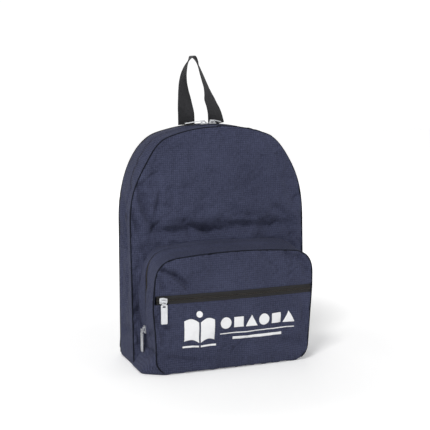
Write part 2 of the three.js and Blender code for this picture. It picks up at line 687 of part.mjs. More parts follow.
addFrontPanel();
addBackPanel();
addSidePanels();
addBase();
addTopGusset();
addArchZip("main_zip", UPPER, ARCH_STEPS, zipY, addPiece);
addMainPiping();
addPocketFace();
addPocketGusset();
addPocketBase();
addArchZip("organiser_zip", POCKET_UPPER, 24, () => ORGANISER_ZIP.y, addPocketPiece, pocketRise);
addFaceZip();
addPocketPiping();
addFaceSlider();
addMainSliders();
addOrganiserSlider();
addHandle();
addYoke();
for (const [word, side] of [["left", -1], ["right", 1]]) {
  addStrap(word, side);
  addAdjuster(word, side);
}

// The origin is under the middle of the whole bag, on the surface that it stands on.
const box = new THREE.Box3().setFromObject(bag, true);
bag.position.x = -(box.min.x + box.max.x) / 2;
bag.position.y = -(box.min.y + box.max.y) / 2;
bag.position.z = -box.min.z;
const part = new THREE.Group();
part.add(bag);

export default part;
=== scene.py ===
import math

import bmesh
import bpy
import numpy as np
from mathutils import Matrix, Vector, noise
from mathutils.bvhtree import BVHTree
from mathutils.kdtree import KDTree


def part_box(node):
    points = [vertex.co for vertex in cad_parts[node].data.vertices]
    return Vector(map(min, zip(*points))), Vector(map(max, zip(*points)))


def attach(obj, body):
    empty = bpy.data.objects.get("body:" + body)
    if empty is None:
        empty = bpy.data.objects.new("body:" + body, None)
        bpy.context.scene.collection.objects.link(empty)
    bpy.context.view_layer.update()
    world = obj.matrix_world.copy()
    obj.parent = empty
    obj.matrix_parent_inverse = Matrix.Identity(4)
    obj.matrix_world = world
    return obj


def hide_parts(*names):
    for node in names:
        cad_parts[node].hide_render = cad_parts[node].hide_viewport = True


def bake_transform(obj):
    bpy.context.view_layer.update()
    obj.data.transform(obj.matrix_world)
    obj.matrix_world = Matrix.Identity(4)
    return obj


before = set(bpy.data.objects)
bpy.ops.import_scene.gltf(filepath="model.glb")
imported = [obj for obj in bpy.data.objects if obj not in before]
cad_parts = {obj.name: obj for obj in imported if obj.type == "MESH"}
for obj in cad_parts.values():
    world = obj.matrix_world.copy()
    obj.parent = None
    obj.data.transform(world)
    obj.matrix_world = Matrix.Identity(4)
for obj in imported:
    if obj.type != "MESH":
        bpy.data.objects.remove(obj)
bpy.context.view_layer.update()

# ---- Camera ----
# It stands a little to the left of the bag's front, at about the handle's height, and
# looks slightly down. The foot of the front seam is the line that sizes are taken from.
BACK_DEPTH = 0.092  # from the front seam's foot to the outer face of the back
seam_foot_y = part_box("back_panel")[1].y - BACK_DEPTH


def placed(name, data):
    """Puts a new object into the scene."""
    holder = bpy.data.objects.new(name, data)
    bpy.context.scene.collection.objects.link(holder)
    return holder


camera_data = bpy.data.cameras.new("camera")
camera_data.sensor_width = 36
camera_data.lens = 82.19
camera = placed("camera", camera_data)
camera_tilt, camera_turn = 0.1429, 0.3739  # down and to the right, in radians
camera.location = (-0.6055, seam_foot_y - 1.5119, 0.4801)
camera.rotation_euler = (math.pi / 2 - camera_tilt, 0, -camera_turn)
bpy.context.scene.camera = camera

# ---- Cloth of the main compartment ----
# Plain-woven navy polyester with a coating on the inside. The panels are cut flat and
# sewn edge to edge, and the seams turn inwards, so each seam shows as a narrow groove.


class Wire:
    """A shader output. An expression on wires adds Math nodes to their tree."""

    def __init__(self, tree, socket=None):
        self.tree = tree
        self.socket = socket

    def node(self, kind, settings=(), values=(), out=0):
        made = self.tree.nodes.new("ShaderNode" + kind)
        for key, value in dict(settings).items():
            if key == "stops":
                ramp = made.color_ramp.elements
                while len(ramp) < len(value):
                    ramp.new(0.5)
                for element, (place, level) in zip(ramp, value):
                    element.position = place
                    element.color = (level, level, level, 1)
            else:
                setattr(made, key, value)
        for key, value in dict(values).items():
            if isinstance(value, Wire):
                self.tree.links.new(value.socket, made.inputs[key])
            else:
                made.inputs[key].default_value = value
        return Wire(self.tree, made.outputs[out])

    def math(self, operation, *terms):
        return self.node("Math", {"operation": operation}, enumerate(terms))

    def __add__(self, other):
        return self.math("ADD", self, other)

    def __sub__(self, other):
        return self.math("SUBTRACT", self, other)

    def __rsub__(self, other):
        return self.math("SUBTRACT", other, self)

    def __mul__(self, other):
        return self.math("MULTIPLY", self, other)

    def __truediv__(self, other):
        return self.math("DIVIDE", self, other)

    __radd__ = __add__
    __rmul__ = __mul__

    def sine(self):
        return self.math("SINE", self)

    def wave(self, period):
        """A level from 0 to 1 that repeats along this wire."""
        return 0.5 + 0.5 * (self * (2 * math.pi / period)).sine()

    def between(self, dark, light):
        """A colour from dark to light."""
        pair = {0: self, 6: (*dark, 1), 7: (*light, 1)}
        return self.node("Mix", {"data_type": "RGBA"}, pair, out=2)

    def ramp(self, *stops):
        return self.node("ValToRGB", {"stops": stops}, {0: self})

    def place(self):
        """The place on the piece, in metres."""
        return self.node("TexCoord", out=3)

    def mottle(self, place, scale, detail=2.0, **more):
        """Cloudy unevenness over a place."""
        values = {"Vector": place, "Scale": scale, "Detail": detail, **more}
        return self.node("TexNoise", {}, values)

    def stretched(self, place, *scale):
        return self.node("Mapping", {}, {"Vector": place, "Scale": scale})

    def cloth_map(self):
        """The piece's cloth map in metres, and its two directions."""
        cloth = self.node("UVMap", {"uv_map": "cloth"})
        return cloth, *(self.node("SeparateXYZ", {}, {0: cloth}, out=k) for k in (0, 1))


def new_finish(name, **constants):
    """A material, a wire to start from and its shader node with its constants set."""
    material = bpy.data.materials.new(name)
    material.use_nodes = True
    shader = material.node_tree.nodes["Principled BSDF"]
    for key, value in constants.items():
        shader.inputs[key.replace("_", " ")].default_value = value
    return material, Wire(material.node_tree), shader


def paint(shader, wire, **places):
    """Joins wires to the shader's inputs."""
    for key, value in places.items():
        wire.tree.links.new(value.socket, shader.inputs[key.replace("_", " ")])


def relief(wire, height, distance, strength=1.0):
    values = {"Height": height, "Distance": distance, "Strength": strength}
    return wire.node("Bump", {}, values)


def woven(name, dark, light, thread, square, square_share, rough):
    """Plain weave along the piece's own cloth map, which is in metres."""
    material, start, shader = new_finish(name, Sheen_Weight=0.02, Sheen_Roughness=0.4)
    shader.inputs["Specular IOR Level"].default_value = 0.12
    cloth, across, along = start.cloth_map()
    place = start.place()
    uneven = start.mottle(place, 160.0)
    cloud = start.mottle(place, 14.0, 4.0)
    wavy = uneven * (thread * 1.6)
    over = (across + wavy).wave(thread)
    under = (along + wavy).wave(thread)
    threads = over * under + (1 - over) * (1 - under)
    drift = cloud * (square * 3.0)
    checks = (across + drift).wave(square) * (along + drift).wave(square) * (0.4 + 1.2 * cloud)
    slub = start.mottle(start.stretched(cloth, 900.0, 160.0, 1.0), 1.0, 3.0)
    weft = start.mottle(start.stretched(cloth, 160.0, 900.0, 1.0), 1.0, 3.0)
    level = 0.24 * threads + square_share * checks + 0.36 * slub + 0.36 * weft + 0.22 * cloud
    colour = level.ramp((0.34, 0.0), (0.80, 1.0)).between(dark, light)
    crumple = start.mottle(place, 75.0, 6.0, Roughness=0.62)
    height = 0.7 * threads + 0.5 * slub + 0.5 * weft + 0.9 * checks + 15.0 * crumple
    paint(
        shader,
        start,
        Base_Color=colour,
        Roughness=rough + 0.12 * cloud,
        Normal=relief(start, height, 0.0006, 0.8),
    )
    return material


NAVY = woven(
    "navy_weave", (0.008, 0.009, 0.022), (0.070, 0.078, 0.136), 0.0012, 0.0034, 0.20, 0.78
)

BODY_HALF = 0.157
BODY_HEIGHT = 0.396
BACK_SEAM_Y = 0.080
CROWN_RADIUS = 0.300
SHOULDER_START, SHOULDER_END_X = 0.235, 0.090
FOOT_RADIUS = 0.005
SEAM_LEAN = 0.020  # how far the front seam leans back from its foot to the crown
FRONT_BULGE = 0.010
# The front flap folds down between these two heights.
FLAP_FOLD = ("bag", "front_flap", (0, 0, 0.196), (0, 0, 0.236))
ROLL = 0.0024  # how deep a seam's groove is


def bezier(a, b, c, d, steps):
    t = np.linspace(0, 1, steps)[:, None]
    a, b, c, d = (np.array(p, float) for p in (a, b, c, d))
    return a * (1 - t) ** 3 + 3 * b * t * (1 - t) ** 2 + 3 * c * t**2 * (1 - t) + d * t**3


def arc(centre, radius, start, end, steps):
    t = np.linspace(start, end, steps)
    return np.stack([centre[0] + radius * np.cos(t), centre[1] + radius * np.sin(t)], 1)


def lengths(path):
    """How far along a path each of its points lies."""
    return np.r_[0, np.cumsum(np.linalg.norm(np.diff(path, axis=0), axis=1))]


def on_path(path, run, at):
    """Points of a path at given values of its run."""
    return np.stack([np.interp(at, run, column) for column in path.T], -1)


def evenly(points, count):
    """The same path with its points spaced evenly, or at the given shares of its length."""
    points = np.asarray(points, float)
    gaps = np.linalg.norm(np.diff(points, axis=0), axis=1)
    points = points[np.r_[True, gaps > 1e-7]]
    run = lengths(points)
    shares = np.linspace(0, 1, count) if np.isscalar(count) else count
    return on_path(points, run, shares * run[-1])


CROWDING = 0.93


def crowded(count, low=CROWDING, high=CROWDING):
    """Shares from 0 to 1 that crowd together at one end or both."""
    t = np.linspace(0, 1, count)
    pull = np.where(t < 0.5, low, high)
    return t - pull * np.sin(2 * np.pi * t) / (2 * np.pi)


def smooth(x, low, high):
    t = np.clip((x - low) / (high - low), 0, 1)
    return t * t * (3 - 2 * t)


def bump(x, centre, spread):
    return np.exp(-(((x - centre) / spread) ** 2))


crown_turn = math.acos(SHOULDER_END_X / CROWN_RADIUS)
crown_centre_z = BODY_HEIGHT - CROWN_RADIUS
shoulder_end_z = crown_centre_z + CROWN_RADIUS * math.sin(crown_turn)
body_half_outline = evenly(
    np.vstack(
        [
            arc((BODY_HALF - FOOT_RADIUS, FOOT_RADIUS), FOOT_RADIUS, -math.pi / 2, 0, 6),
            bezier(
                (BODY_HALF, SHOULDER_START),
                (BODY_HALF, SHOULDER_START + 0.082),
                (SHOULDER_END_X + 0.038 * math.sin(crown_turn), shoulder_end_z - 0.0114),
                (SHOULDER_END_X, shoulder_end_z),
                60,
            ),
            arc((0, crown_centre_z), CROWN_RADIUS, crown_turn, math.pi / 2, 30),
        ]
    ),
    700,
)


def both_sides(half):
    """The path over the whole bag, from the left base corner to the right one."""
    left = half * (-1, 1)
    return np.vstack([left, half[::-1][1:]])


def unit(vectors):
    return vectors / np.linalg.norm(vectors, axis=-1)[..., None]


def outward(path):
    """The unit normals of a path that runs over the bag from left to right."""
    run = unit(np.gradient(path, axis=0))
    return np.stack([-run[:, 1], run[:, 0]], 1)


body_outline = both_sides(body_half_outline)


def seam_inset(x, z):
    """How far the front seam lies inside the outline: the gusset bulges past it."""
    left = 0.009 * bump(z, 0.345, 0.048)
    right = 0.004 * bump(z, 0.350, 0.040)
    return np.where(x < 0, left, right)


front_seam = body_outline - outward(body_outline) * seam_inset(
    body_outline[:, 0], body_outline[:, 1]
)[:, None]


def seam_y(z):
    return seam_foot_y + SEAM_LEAN * z / BODY_HEIGHT


def nearest_on(path, x, z):
    """For each point of a panel: how far it is from a path, how far along the path its
    nearest point lies, and which way is outwards there."""
    tree = KDTree(len(path))
    for index, (px, pz) in enumerate(path):
        tree.insert((px, pz, 0), index)
    tree.balance()
    found = [tree.find((a, b, 0)) for a, b in zip(x.ravel(), z.ravel())]
    gaps = np.array([item[2] for item in found]).reshape(x.shape)
    index = np.array([item[1] for item in found]).reshape(x.shape)
    return gaps, lengths(path)[index], outward(path)[index]


def groove(distance, depth=ROLL):
    """The narrow groove in which a seam's stitches sit."""
    return depth * np.exp(-((np.maximum(distance, 0) / 0.0010) ** 2))


def rolled(distance, depth=ROLL):
    """How far cloth turns in near a seam: a soft shoulder and the narrow groove."""
    return 0.5 * depth * (1 - smooth(distance, 0, 3 * depth)) + groove(distance, depth)


def pucker(along, distance, height=0.0016, reach=0.016):
    """The short wrinkles that a seam draws up on both its sides."""
    level = [noise.noise(Vector((a * 105, 0.3, 7.7))) for a in along.ravel()]
    fine = [noise.noise(Vector((a * 260, 4.3, 1.7))) for a in along.ravel()]
    draw = np.array(level).reshape(along.shape) + 0.4 * np.array(fine).reshape(along.shape)
    return height * 1.6 * draw * np.exp(-distance / reach) * smooth(distance, 0, 0.003)


def creases(x, z, lines):
    """The sum of soft folds. Each has two ends, a width and a depth."""
    total = np.zeros_like(x)
    for ax, az, bx, bz, width, depth in lines:
        length = math.hypot(bx - ax, bz - az)
        ux, uz = (bx - ax) / length, (bz - az) / length
        along = (x - ax) * ux + (z - az) * uz
        aside = (x - ax) * uz - (z - az) * ux
        ends = smooth(along, -0.3 * length, 0.3 * length)
        ends *= 1 - smooth(along, 0.7 * length, 1.3 * length)
        total += depth * ends * (np.exp(-((aside / width) ** 2)))
        total -= 0.35 * depth * ends * np.exp(-(((aside - 1.9 * width) / width) ** 2))
    return total


def ruffle(x, z, scale, seed, octaves=3):
    """Smooth unevenness from about -1 to 1."""
    flat = [
        noise.fractal(Vector((a * scale, b * scale, seed)), 1.0, 2.0, octaves)
        for a, b in zip(x.ravel(), z.ravel())
    ]
    return np.array(flat).reshape(x.shape)


def patch(bottom, top, left, right, columns, rows):
    """A grid inside four edges. Bottom and top run to the right, the sides run up."""
    columns, rows = crowded(columns), crowded(rows)
    b, t = evenly(bottom, columns), evenly(top, columns)
    l, r = evenly(left, rows), evenly(right, rows)
    u = columns[None, :, None]
    v = rows[:, None, None]
    ruled = (1 - v) * b[None] + v * t[None] + (1 - u) * l[:, None] + u * r[:, None]
    corners = (1 - u) * (1 - v) * b[0] + u * (1 - v) * b[-1]
    return ruled - corners - (1 - u) * v * t[0] - u * v * t[-1]


def grid_mesh(name, points, cloth, finish, outside=None):
    """A smooth mesh over a grid of points, with its cloth map in metres. Its faces are
    turned towards outside."""
    rows, columns = points.shape[:2]
    index = np.arange(rows * columns).reshape(rows, columns)
    quads = np.stack(
        [index[:-1, :-1], index[:-1, 1:], index[1:, 1:], index[1:, :-1]], -1
    ).reshape(-1, 4)
    flat = points.reshape(-1, 3)
    if outside is not None:
        a, b, c = (flat[quads[:, k]] for k in (0, 1, 3))
        facing = np.cross(b - a, c - a).sum(0)
        if facing @ np.array(outside, float) < 0:
            quads = quads[:, ::-1]
    mesh = bpy.data.meshes.new(name)
    mesh.from_pydata(flat.tolist(), [], quads.tolist())
    layer = mesh.uv_layers.new(name="cloth")
    loops = np.zeros(len(mesh.loops), np.int32)
    mesh.loops.foreach_get("vertex_index", loops)
    layer.data.foreach_set("uv", cloth.reshape(-1, 2)[loops].ravel().astype(np.float32))
    mesh.polygons.foreach_set("use_smooth", [True] * len(mesh.polygons))
    mesh.materials.append(finish)
    return placed(name, mesh)


def settle(piece):
    """Applies the piece's modifiers, so that its mesh is final."""
    graph = bpy.context.evaluated_depsgraph_get()
    done = bpy.data.meshes.new_from_object(piece.evaluated_get(graph))
    piece.modifiers.clear()
    piece.data = done
    return piece


def thicken(piece, thickness):
    """Gives cloth its thickness, inwards."""
    solid = piece.modifiers.new("thickness", "SOLIDIFY")
    solid.thickness = thickness
    solid.offset = -1
    solid.use_even_offset = False
    return settle(piece)


CLOTH_THICKNESS = 0.0011


def sewn(piece, where, slot, *nodes):
    """Hides the CAD nodes that a piece replaces and hangs it on the body it moves with. The slot is
    not used.
    Where is one body's name, or the two bodies and two places of a fold; with a fold, the piece is
    only baked where it lies and follows neither body."""
    if nodes:
        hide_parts(*nodes)
    if isinstance(where, str):
        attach(piece, where)
    else:
        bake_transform(piece)


def panel(piece, where, *nodes):
    """Finishes a piece of the navy cloth."""
    thicken(piece, CLOTH_THICKNESS)
    sewn(piece, where, "navy_cloth", *nodes)


def front_surface(x, z):
    across = np.maximum(0, 1 - (x / BODY_HALF) ** 2)
    up = np.sin(np.pi * np.clip(z / BODY_HEIGHT, 0, 1)) ** 0.6
    return seam_y(z) - FRONT_BULGE * across * up


# Dents and folds of the front panel: two ends, width and depth, in metres.
FRONT_FOLDS = [
    (-0.150, 0.306, -0.128, 0.276, 0.0060, 0.0050),
    (-0.146, 0.282, -0.122, 0.262, 0.0045, 0.0030),
    (-0.136, 0.268, -0.112, 0.226, 0.0055, 0.0050),
    (-0.152, 0.250, -0.140, 0.226, 0.0045, 0.0030),
    (-0.103, 0.290, -0.112, 0.248, 0.0045, 0.0036),
    (-0.150, 0.300, -0.112, 0.296, 0.0050, 0.0024),
    (-0.104, 0.222, 0.006, 0.219, 0.0080, 0.0052),
    (0.000, 0.222, 0.128, 0.224, 0.0085, 0.0046),
    (-0.056, 0.232, -0.010, 0.210, 0.0040, 0.0040),
    (-0.020, 0.236, 0.040, 0.228, 0.0040, 0.0024),
    (0.122, 0.306, 0.142, 0.262, 0.0075, 0.0030),
    (0.100, 0.250, 0.134, 0.236, 0.0060, 0.0026),
    (-0.110, 0.366, -0.084, 0.346, 0.0060, 0.0022),
    (-0.030, 0.376, 0.040, 0.379, 0.0100, 0.0014),
]


def wrinkles(x, z, scale, seed, slant):
    """Sharp-crested folds that run across a slanted direction, in loose patches."""
    along = x * math.cos(slant) + z * math.sin(slant)
    across = z * math.cos(slant) - x * math.sin(slant)
    bend = 0.012 * ruffle(x, z, scale * 0.8, seed + 4, 2)
    crest = 1 - np.abs(ruffle(across + bend, along * 0.5, scale, seed, 2)) * 2.6
    patchy = smooth(ruffle(x, z, scale * 0.6, seed + 9, 2), -0.05, 0.35)
    return np.maximum(crest, 0) ** 3 * patchy


def worn(x, z, look, low=0.0):
    """The folds, the unevenness and the wrinkles of a panel, added up. The wrinkles
    may be deeper where the panel is low."""
    depth = look["folds"] * creases(x, z, look["lines"])
    for height, fineness, seed in look["ruffles"]:
        depth += height * ruffle(x, z, fineness, seed)
    for height, more, fineness, seed, slant in look["wrinkles"]:
        depth += (height + more * low) * wrinkles(x, z, fineness, seed, slant)
    return depth


FRONT_LOOK = {
    "lines": FRONT_FOLDS,
    "folds": 1.45,
    "ruffles": ((0.0040, 15, 3.1), (0.0026, 60, 8.7)),
    "wrinkles": ((0.0026, 0.0026, 24, 2.2, 0.5), (0.0020, 0.0024, 30, 5.2, -0.7)),
}
POCKET_DENT = {"depth": 0.0050, "height": 0.221, "spread": 0.014}  # above the pocket


def front_relief(x, z):
    """How far the front panel is pressed in from its filled-out shape."""
    dent = bump(z, POCKET_DENT["height"], POCKET_DENT["spread"])
    dent = dent * (1 - smooth(np.abs(x), 0.105, 0.150))
    low = 1 - smooth(z, 0.25, 0.36)
    return worn(x, z, FRONT_LOOK, low) + POCKET_DENT["depth"] * dent


shoulder = int(np.argmax(body_half_outline @ (1, 1) * (body_half_outline[:, 1] > 0.25)))


def body_grid(outline, columns, rows, foot_lift=0.0):
    """A grid inside the body's outline, with its top corners at the shoulders."""
    far = len(outline) - shoulder
    foot = np.array([outline[0], outline[-1]]) + (0, foot_lift)
    sides = outline[: shoulder + 1], outline[far - 1 :][::-1]
    return patch(foot, outline[shoulder:far], *sides, columns, rows)


panel_grid = body_grid(front_seam, 160, 196)
x, z = panel_grid[..., 0], panel_grid[..., 1]
edge_gap, edge_way, edge_out = nearest_on(front_seam, x, z)
away = smooth(edge_gap, 0.0, 0.010)
y = front_surface(x, z) + away * front_relief(x, z) + rolled(np.minimum(edge_gap, z + 0.001))
y += pucker(edge_way, edge_gap)
tucked = panel_grid - edge_out * (groove(edge_gap) * smooth(z, 0.004, 0.012))[..., None]
front_panel = grid_mesh(
    "front_panel",
    np.stack([tucked[..., 0], y, tucked[..., 1]], -1),
    np.stack([x, z], -1),
    NAVY,
    (0, -1, 0),
)
panel(front_panel, FLAP_FOLD, "front_panel_lower", "front_panel_upper")

# ---- Gusset of the main compartment ----
# A long strip of the same cloth runs up one side, over the top and down the other. The
# main zip splits it above the fold, and its edges are sewn to the front and back panels.
ZIP_BEHIND = 0.024
ZIP_OPENING = 0.0011
GUSSET_SPLIT = 0.190  # the zip splits the gusset above this height
GUSSET_HOLLOW = 0.0030
outline_run = lengths(body_outline)
outline_out = outward(body_outline)


def spread(low, high, steps, rows):
    """Values from low to high down a grid's columns."""
    return np.linspace(low, high, steps)[:, None] * np.ones((1, rows))


def gusset_point(place, y, lift=0.0):
    """A point of the gusset: place is a share of the way over the bag, y runs back."""
    at = place * outline_run[-1]
    base = on_path(body_outline, outline_run, at)
    out = unit(on_path(outline_out, outline_run, at))
    start = seam_y(base[..., 1])
    depth = y - start
    back_gap = seam_foot_y + BACK_SEAM_Y - y
    offset = -seam_inset(base[..., 0], base[..., 1]) * (1 - smooth(depth, 0, 0.028))
    offset = offset - rolled(depth) - 0.6 * rolled(back_gap)
    offset = offset + pucker(at, depth) + 0.4 * pucker(at, back_gap)
    side = 0.35 + 0.65 * smooth(0.34 - base[..., 1], 0, 0.08)
    offset = offset + side * gusset_relief(base[..., 0], base[..., 1], depth)
    moved = base + out * (offset + lift)[..., None]
    y = y + groove(depth) - 0.6 * groove(back_gap)
    return np.stack([moved[..., 0], y, np.maximum(moved[..., 1], 0.0)], -1)


SIDE_FOLDS = [
    (0.020, 0.300, 0.044, 0.240, 0.0070, 0.0030),
    (0.052, 0.270, 0.034, 0.190, 0.0080, 0.0030),
    (0.026, 0.150, 0.046, 0.090, 0.0070, 0.0022),
    (0.018, 0.060, 0.060, 0.046, 0.0060, 0.0022),
    (0.060, 0.180, 0.066, 0.110, 0.0080, 0.0020),
]


def gusset_relief(x, z, depth):
    inner = smooth(depth, 0.006, 0.022) * smooth(0.074 - depth, 0.0, 0.016)
    hollow = GUSSET_HOLLOW * np.sin(np.pi * np.clip(depth / 0.078, 0, 1)) * smooth(z, 0.01, 0.08)
    folds = creases(depth, z, SIDE_FOLDS)
    folds = 1.9 * folds + 0.0040 * wrinkles(depth, z + np.sign(x), 26, 3.3, 1.3)
    return -inner * (folds + hollow + 0.0026 * ruffle(depth, z + 2 * np.sign(x), 22, 5.5))


def gusset_piece(name, low, high, front, back, columns, rows, outside, relief_lift=0.0):
    """A piece of the gusset between two shares of the way and two lines front and back."""
    place = spread(low, high, columns, rows)
    heights = np.interp(place * outline_run[-1], outline_run, body_outline[:, 1])
    seams = CROWDING * (front is seam_y), CROWDING * (back is at_back)
    share = crowded(rows, *seams)[None, :]
    y = front(heights) * (1 - share) + back(heights) * share
    points = gusset_point(place, y, relief_lift)
    cloth = np.stack([y, place * outline_run[-1]], -1)
    return grid_mesh(name, points, cloth, NAVY, outside)


def zip_line(shift):
    """A line on the gusset at a distance behind or before the main zip's middle."""
    return lambda z: seam_y(z) + ZIP_BEHIND + shift


def at_back(z):
    return np.full_like(z, seam_foot_y + BACK_SEAM_Y)


split_place = np.interp(
    GUSSET_SPLIT, body_half_outline[:, 1], outline_run[: len(body_half_outline)]
)
split_place /= outline_run[-1]
for word, low, high, outside in (
    ("left", 0.0, split_place, (-1, 0, 0)),
    ("right", 1 - split_place, 1.0, (1, 0, 0)),
):
    side = gusset_piece(f"side_{word}", low, high, seam_y, at_back, 70, 36, outside)
    panel(side, "bag", f"side_panel_{word}")

gusset_front = gusset_piece(
    "gusset_front", split_place, 1 - split_place, seam_y, zip_line(-ZIP_OPENING), 240, 16, (0, 0, 1)
)
panel(gusset_front, FLAP_FOLD, "top_gusset_front")
gusset_rear = gusset_piece(
    "gusset_rear", split_place, 1 - split_place, zip_line(ZIP_OPENING), at_back, 240, 26, (0, 0, 1)
)
panel(gusset_rear, "bag", "top_gusset_rear")

# ---- Base ----
# A doubled rectangle of the same cloth, sewn to the panels round it, with a stiff dark
# plastic board lying loose on its inside.
base_low, base_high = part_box("base_panel")
base_grid = np.stack(
    np.meshgrid(
        np.linspace(base_low.x - 0.003, base_high.x + 0.003, 60),
        np.linspace(base_low.y - 0.002, base_high.y, 20),
        indexing="ij",
    ),
    -1,
)
base_z = 0.0004 + 0.0004 * ruffle(base_grid[..., 0], base_grid[..., 1], 30, 1.2) ** 2
base = grid_mesh("base", np.dstack([base_grid, base_z]), base_grid, NAVY, (0, 0, -1))
panel(base, "bag", "base_panel")


def moulded(name, dark, light, rough, grain=900.0):
    """Moulded plastic with a fine grain and slightly worn high spots."""
    material, start, shader = new_finish(name, Specular_IOR_Level=0.45)
    place = start.place()
    fine = start.mottle(place, grain)
    broad = start.mottle(place, 40.0, 3.0)
    paint(
        shader,
        start,
        Base_Color=(0.6 * broad + 0.4 * fine).ramp((0.3, 0.0), (0.7, 1.0)).between(dark, light),
        Roughness=rough + 0.18 * broad,
        Normal=relief(start, fine, 0.00015, 0.5),
    )
    return material


def dress(node, finish):
    """Gives a CAD node its finish."""
    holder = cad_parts[node]
    holder.data.materials.clear()
    holder.data.materials.append(finish)


dress("base_board", moulded("board_plastic", (0.02, 0.02, 0.022), (0.05, 0.05, 0.052), 0.45))

# ---- Main zip ----
# A coil zip: two woven black tapes sewn under the cloth's folded edges, with a black
# nylon coil along each tape's inner edge. It runs over the top from fold to fold.


def tape_finish(name, dark, light, rib, rough):
    """Tight black weave with ribs across the cloth map's second direction."""
    material, start, shader = new_finish(name, Specular_IOR_Level=0.3)
    across, along = start.cloth_map()[1:]
    place = start.place()
    fuzz = start.mottle(place, 700.0, 3.0)
    worn = start.mottle(place, 35.0, 4.0)
    chevron = (across * (2 * math.pi / (rib * 4))).sine().math("ABSOLUTE")
    slanted = (along + chevron * (rib * 0.9)).wave(rib)
    ends = across.wave(rib * 0.8)
    level = 0.45 * slanted + 0.2 * ends + 0.35 * fuzz
    colour = (level + 0.25 * worn).ramp((0.3, 0.0), (0.85, 1.0)).between(dark, light)
    paint(
        shader,
        start,
        Base_Color=colour,
        Roughness=rough + 0.15 * fuzz,
        Normal=relief(start, level, 0.0005, 0.7),
    )
    return material


TAPE = tape_finish("black_tape_weave", (0.006, 0.006, 0.007), (0.034, 0.033, 0.034), 0.0009, 0.7)
COIL = moulded("coil_nylon", (0.012, 0.010, 0.009), (0.052, 0.046, 0.04), 0.34, 500.0)


def repeat_tree(finish):
    """Puts a rounded bead at every step along a path. The path's points carry the
    direction that faces outwards."""
    tree = bpy.data.node_groups.new("beads_along_path", "GeometryNodeTree")
    sockets = {}
    for label, kind in (
        ("Path", "NodeSocketGeometry"),
        ("Step", "NodeSocketFloat"),
        ("Bead Size", "NodeSocketVector"),
        ("Bead Shift", "NodeSocketVector"),
    ):
        sockets[label] = tree.interface.new_socket(name=label, in_out="INPUT", socket_type=kind)
    tree.interface.new_socket(name="Beads", in_out="OUTPUT", socket_type="NodeSocketGeometry")

    def add(kind, **settings):
        node = tree.nodes.new(kind)
        for key, value in settings.items():
            setattr(node, key, value)
        return node

    def join(source, out, target, into):
        tree.links.new(source.outputs[out], target.inputs[into])

    given = add("NodeGroupInput")
    curve = add("GeometryNodeMeshToCurve")
    steps = add("GeometryNodeResampleCurve", mode="LENGTH")
    bead = add("GeometryNodeMeshIcoSphere")
    bead.inputs["Subdivisions"].default_value = 2
    bead.inputs["Radius"].default_value = 0.5
    sized = add("GeometryNodeTransform")
    facing = add("GeometryNodeInputNamedAttribute", data_type="FLOAT_VECTOR")
    facing.inputs["Name"].default_value = "facing"
    run = add("GeometryNodeInputTangent")
    turn = add("FunctionNodeAxesToRotation", primary_axis="X", secondary_axis="Z")
    place = add("GeometryNodeInstanceOnPoints")
    real = add("GeometryNodeRealizeInstances")
    soft = add("GeometryNodeSetShadeSmooth")
    dressed = add("GeometryNodeSetMaterial")
    dressed.inputs["Material"].default_value = finish
    result = add("NodeGroupOutput")
    join(given, "Path", curve, "Mesh")
    join(curve, "Curve", steps, "Curve")
    join(given, "Step", steps, "Length")
    join(bead, "Mesh", sized, "Geometry")
    join(given, "Bead Size", sized, "Scale")
    join(given, "Bead Shift", sized, "Translation")
    join(run, "Tangent", turn, "Primary Axis")
    join(facing, "Attribute", turn, "Secondary Axis")
    join(steps, "Curve", place, "Points")
    join(sized, "Geometry", place, "Instance")
    join(turn, "Rotation", place, "Rotation")
    join(place, "Instances", real, "Geometry")
    join(real, "Geometry", soft, "Geometry")
    join(soft, "Geometry", dressed, "Geometry")
    join(dressed, "Geometry", result, "Beads")
    return tree, {label: socket.identifier for label, socket in sockets.items()}


bead_trees = {}


def beads(name, paths, finish, step, size, shift=(0, 0, 0)):
    """Beads along one or more paths. A path is its points and the directions that its
    outside faces; a bead's size is along, across and out."""
    mesh = bpy.data.meshes.new(name)
    points, edges, facings = [], [], []
    for path, facing in paths:
        first = len(points)
        points += np.asarray(path).tolist()
        facings.append(np.broadcast_to(np.asarray(facing, float), np.shape(path)))
        edges += [(first + i, first + i + 1) for i in range(len(path) - 1)]
    mesh.from_pydata(points, edges, [])
    mark = mesh.attributes.new("facing", "FLOAT_VECTOR", "POINT")
    mark.data.foreach_set("vector", np.vstack(facings).astype(np.float32).ravel())
    piece = placed(name, mesh)
    if finish.name not in bead_trees:
        bead_trees[finish.name] = repeat_tree(finish)
    tree, names = bead_trees[finish.name]
    modifier = piece.modifiers.new("beads", "NODES")
    modifier.node_group = tree
    modifier[names["Step"]] = step
    modifier[names["Bead Size"]] = size
    modifier[names["Bead Shift"]] = shift
    return settle(piece)


def band_normals(points):
    """The directions that face out of a band of points, at each of its points."""
    along = np.gradient(points, axis=0)
    across = np.gradient(points, axis=1)
    out = np.cross(along, across)
    out /= np.maximum(np.linalg.norm(out, axis=-1), 1e-9)[..., None]
    return out


def line_on(surface, facing_side):
    """A path through a band's middle row with its outward directions."""
    normals = band_normals(surface)
    middle = surface.shape[1] // 2
    path, facing = surface[:, middle], normals[:, middle]
    if (facing @ np.array(facing_side, float)).sum() < 0:
        facing = -facing
    return path, facing


LINE_BAND = np.array([-0.001, 0, 0.001])[None]  # the narrow band that a line runs in


def gusset_line(offset, lift, low=split_place, high=1 - split_place, steps=400):
    """A line over the bag at a distance behind the front seam."""
    place = spread(low, high, steps, 3)
    heights = np.interp(place * outline_run[-1], outline_run, body_outline[:, 1])
    y = seam_y(heights) + offset + LINE_BAND
    return line_on(gusset_point(place, y, lift), (0, 0, 1))


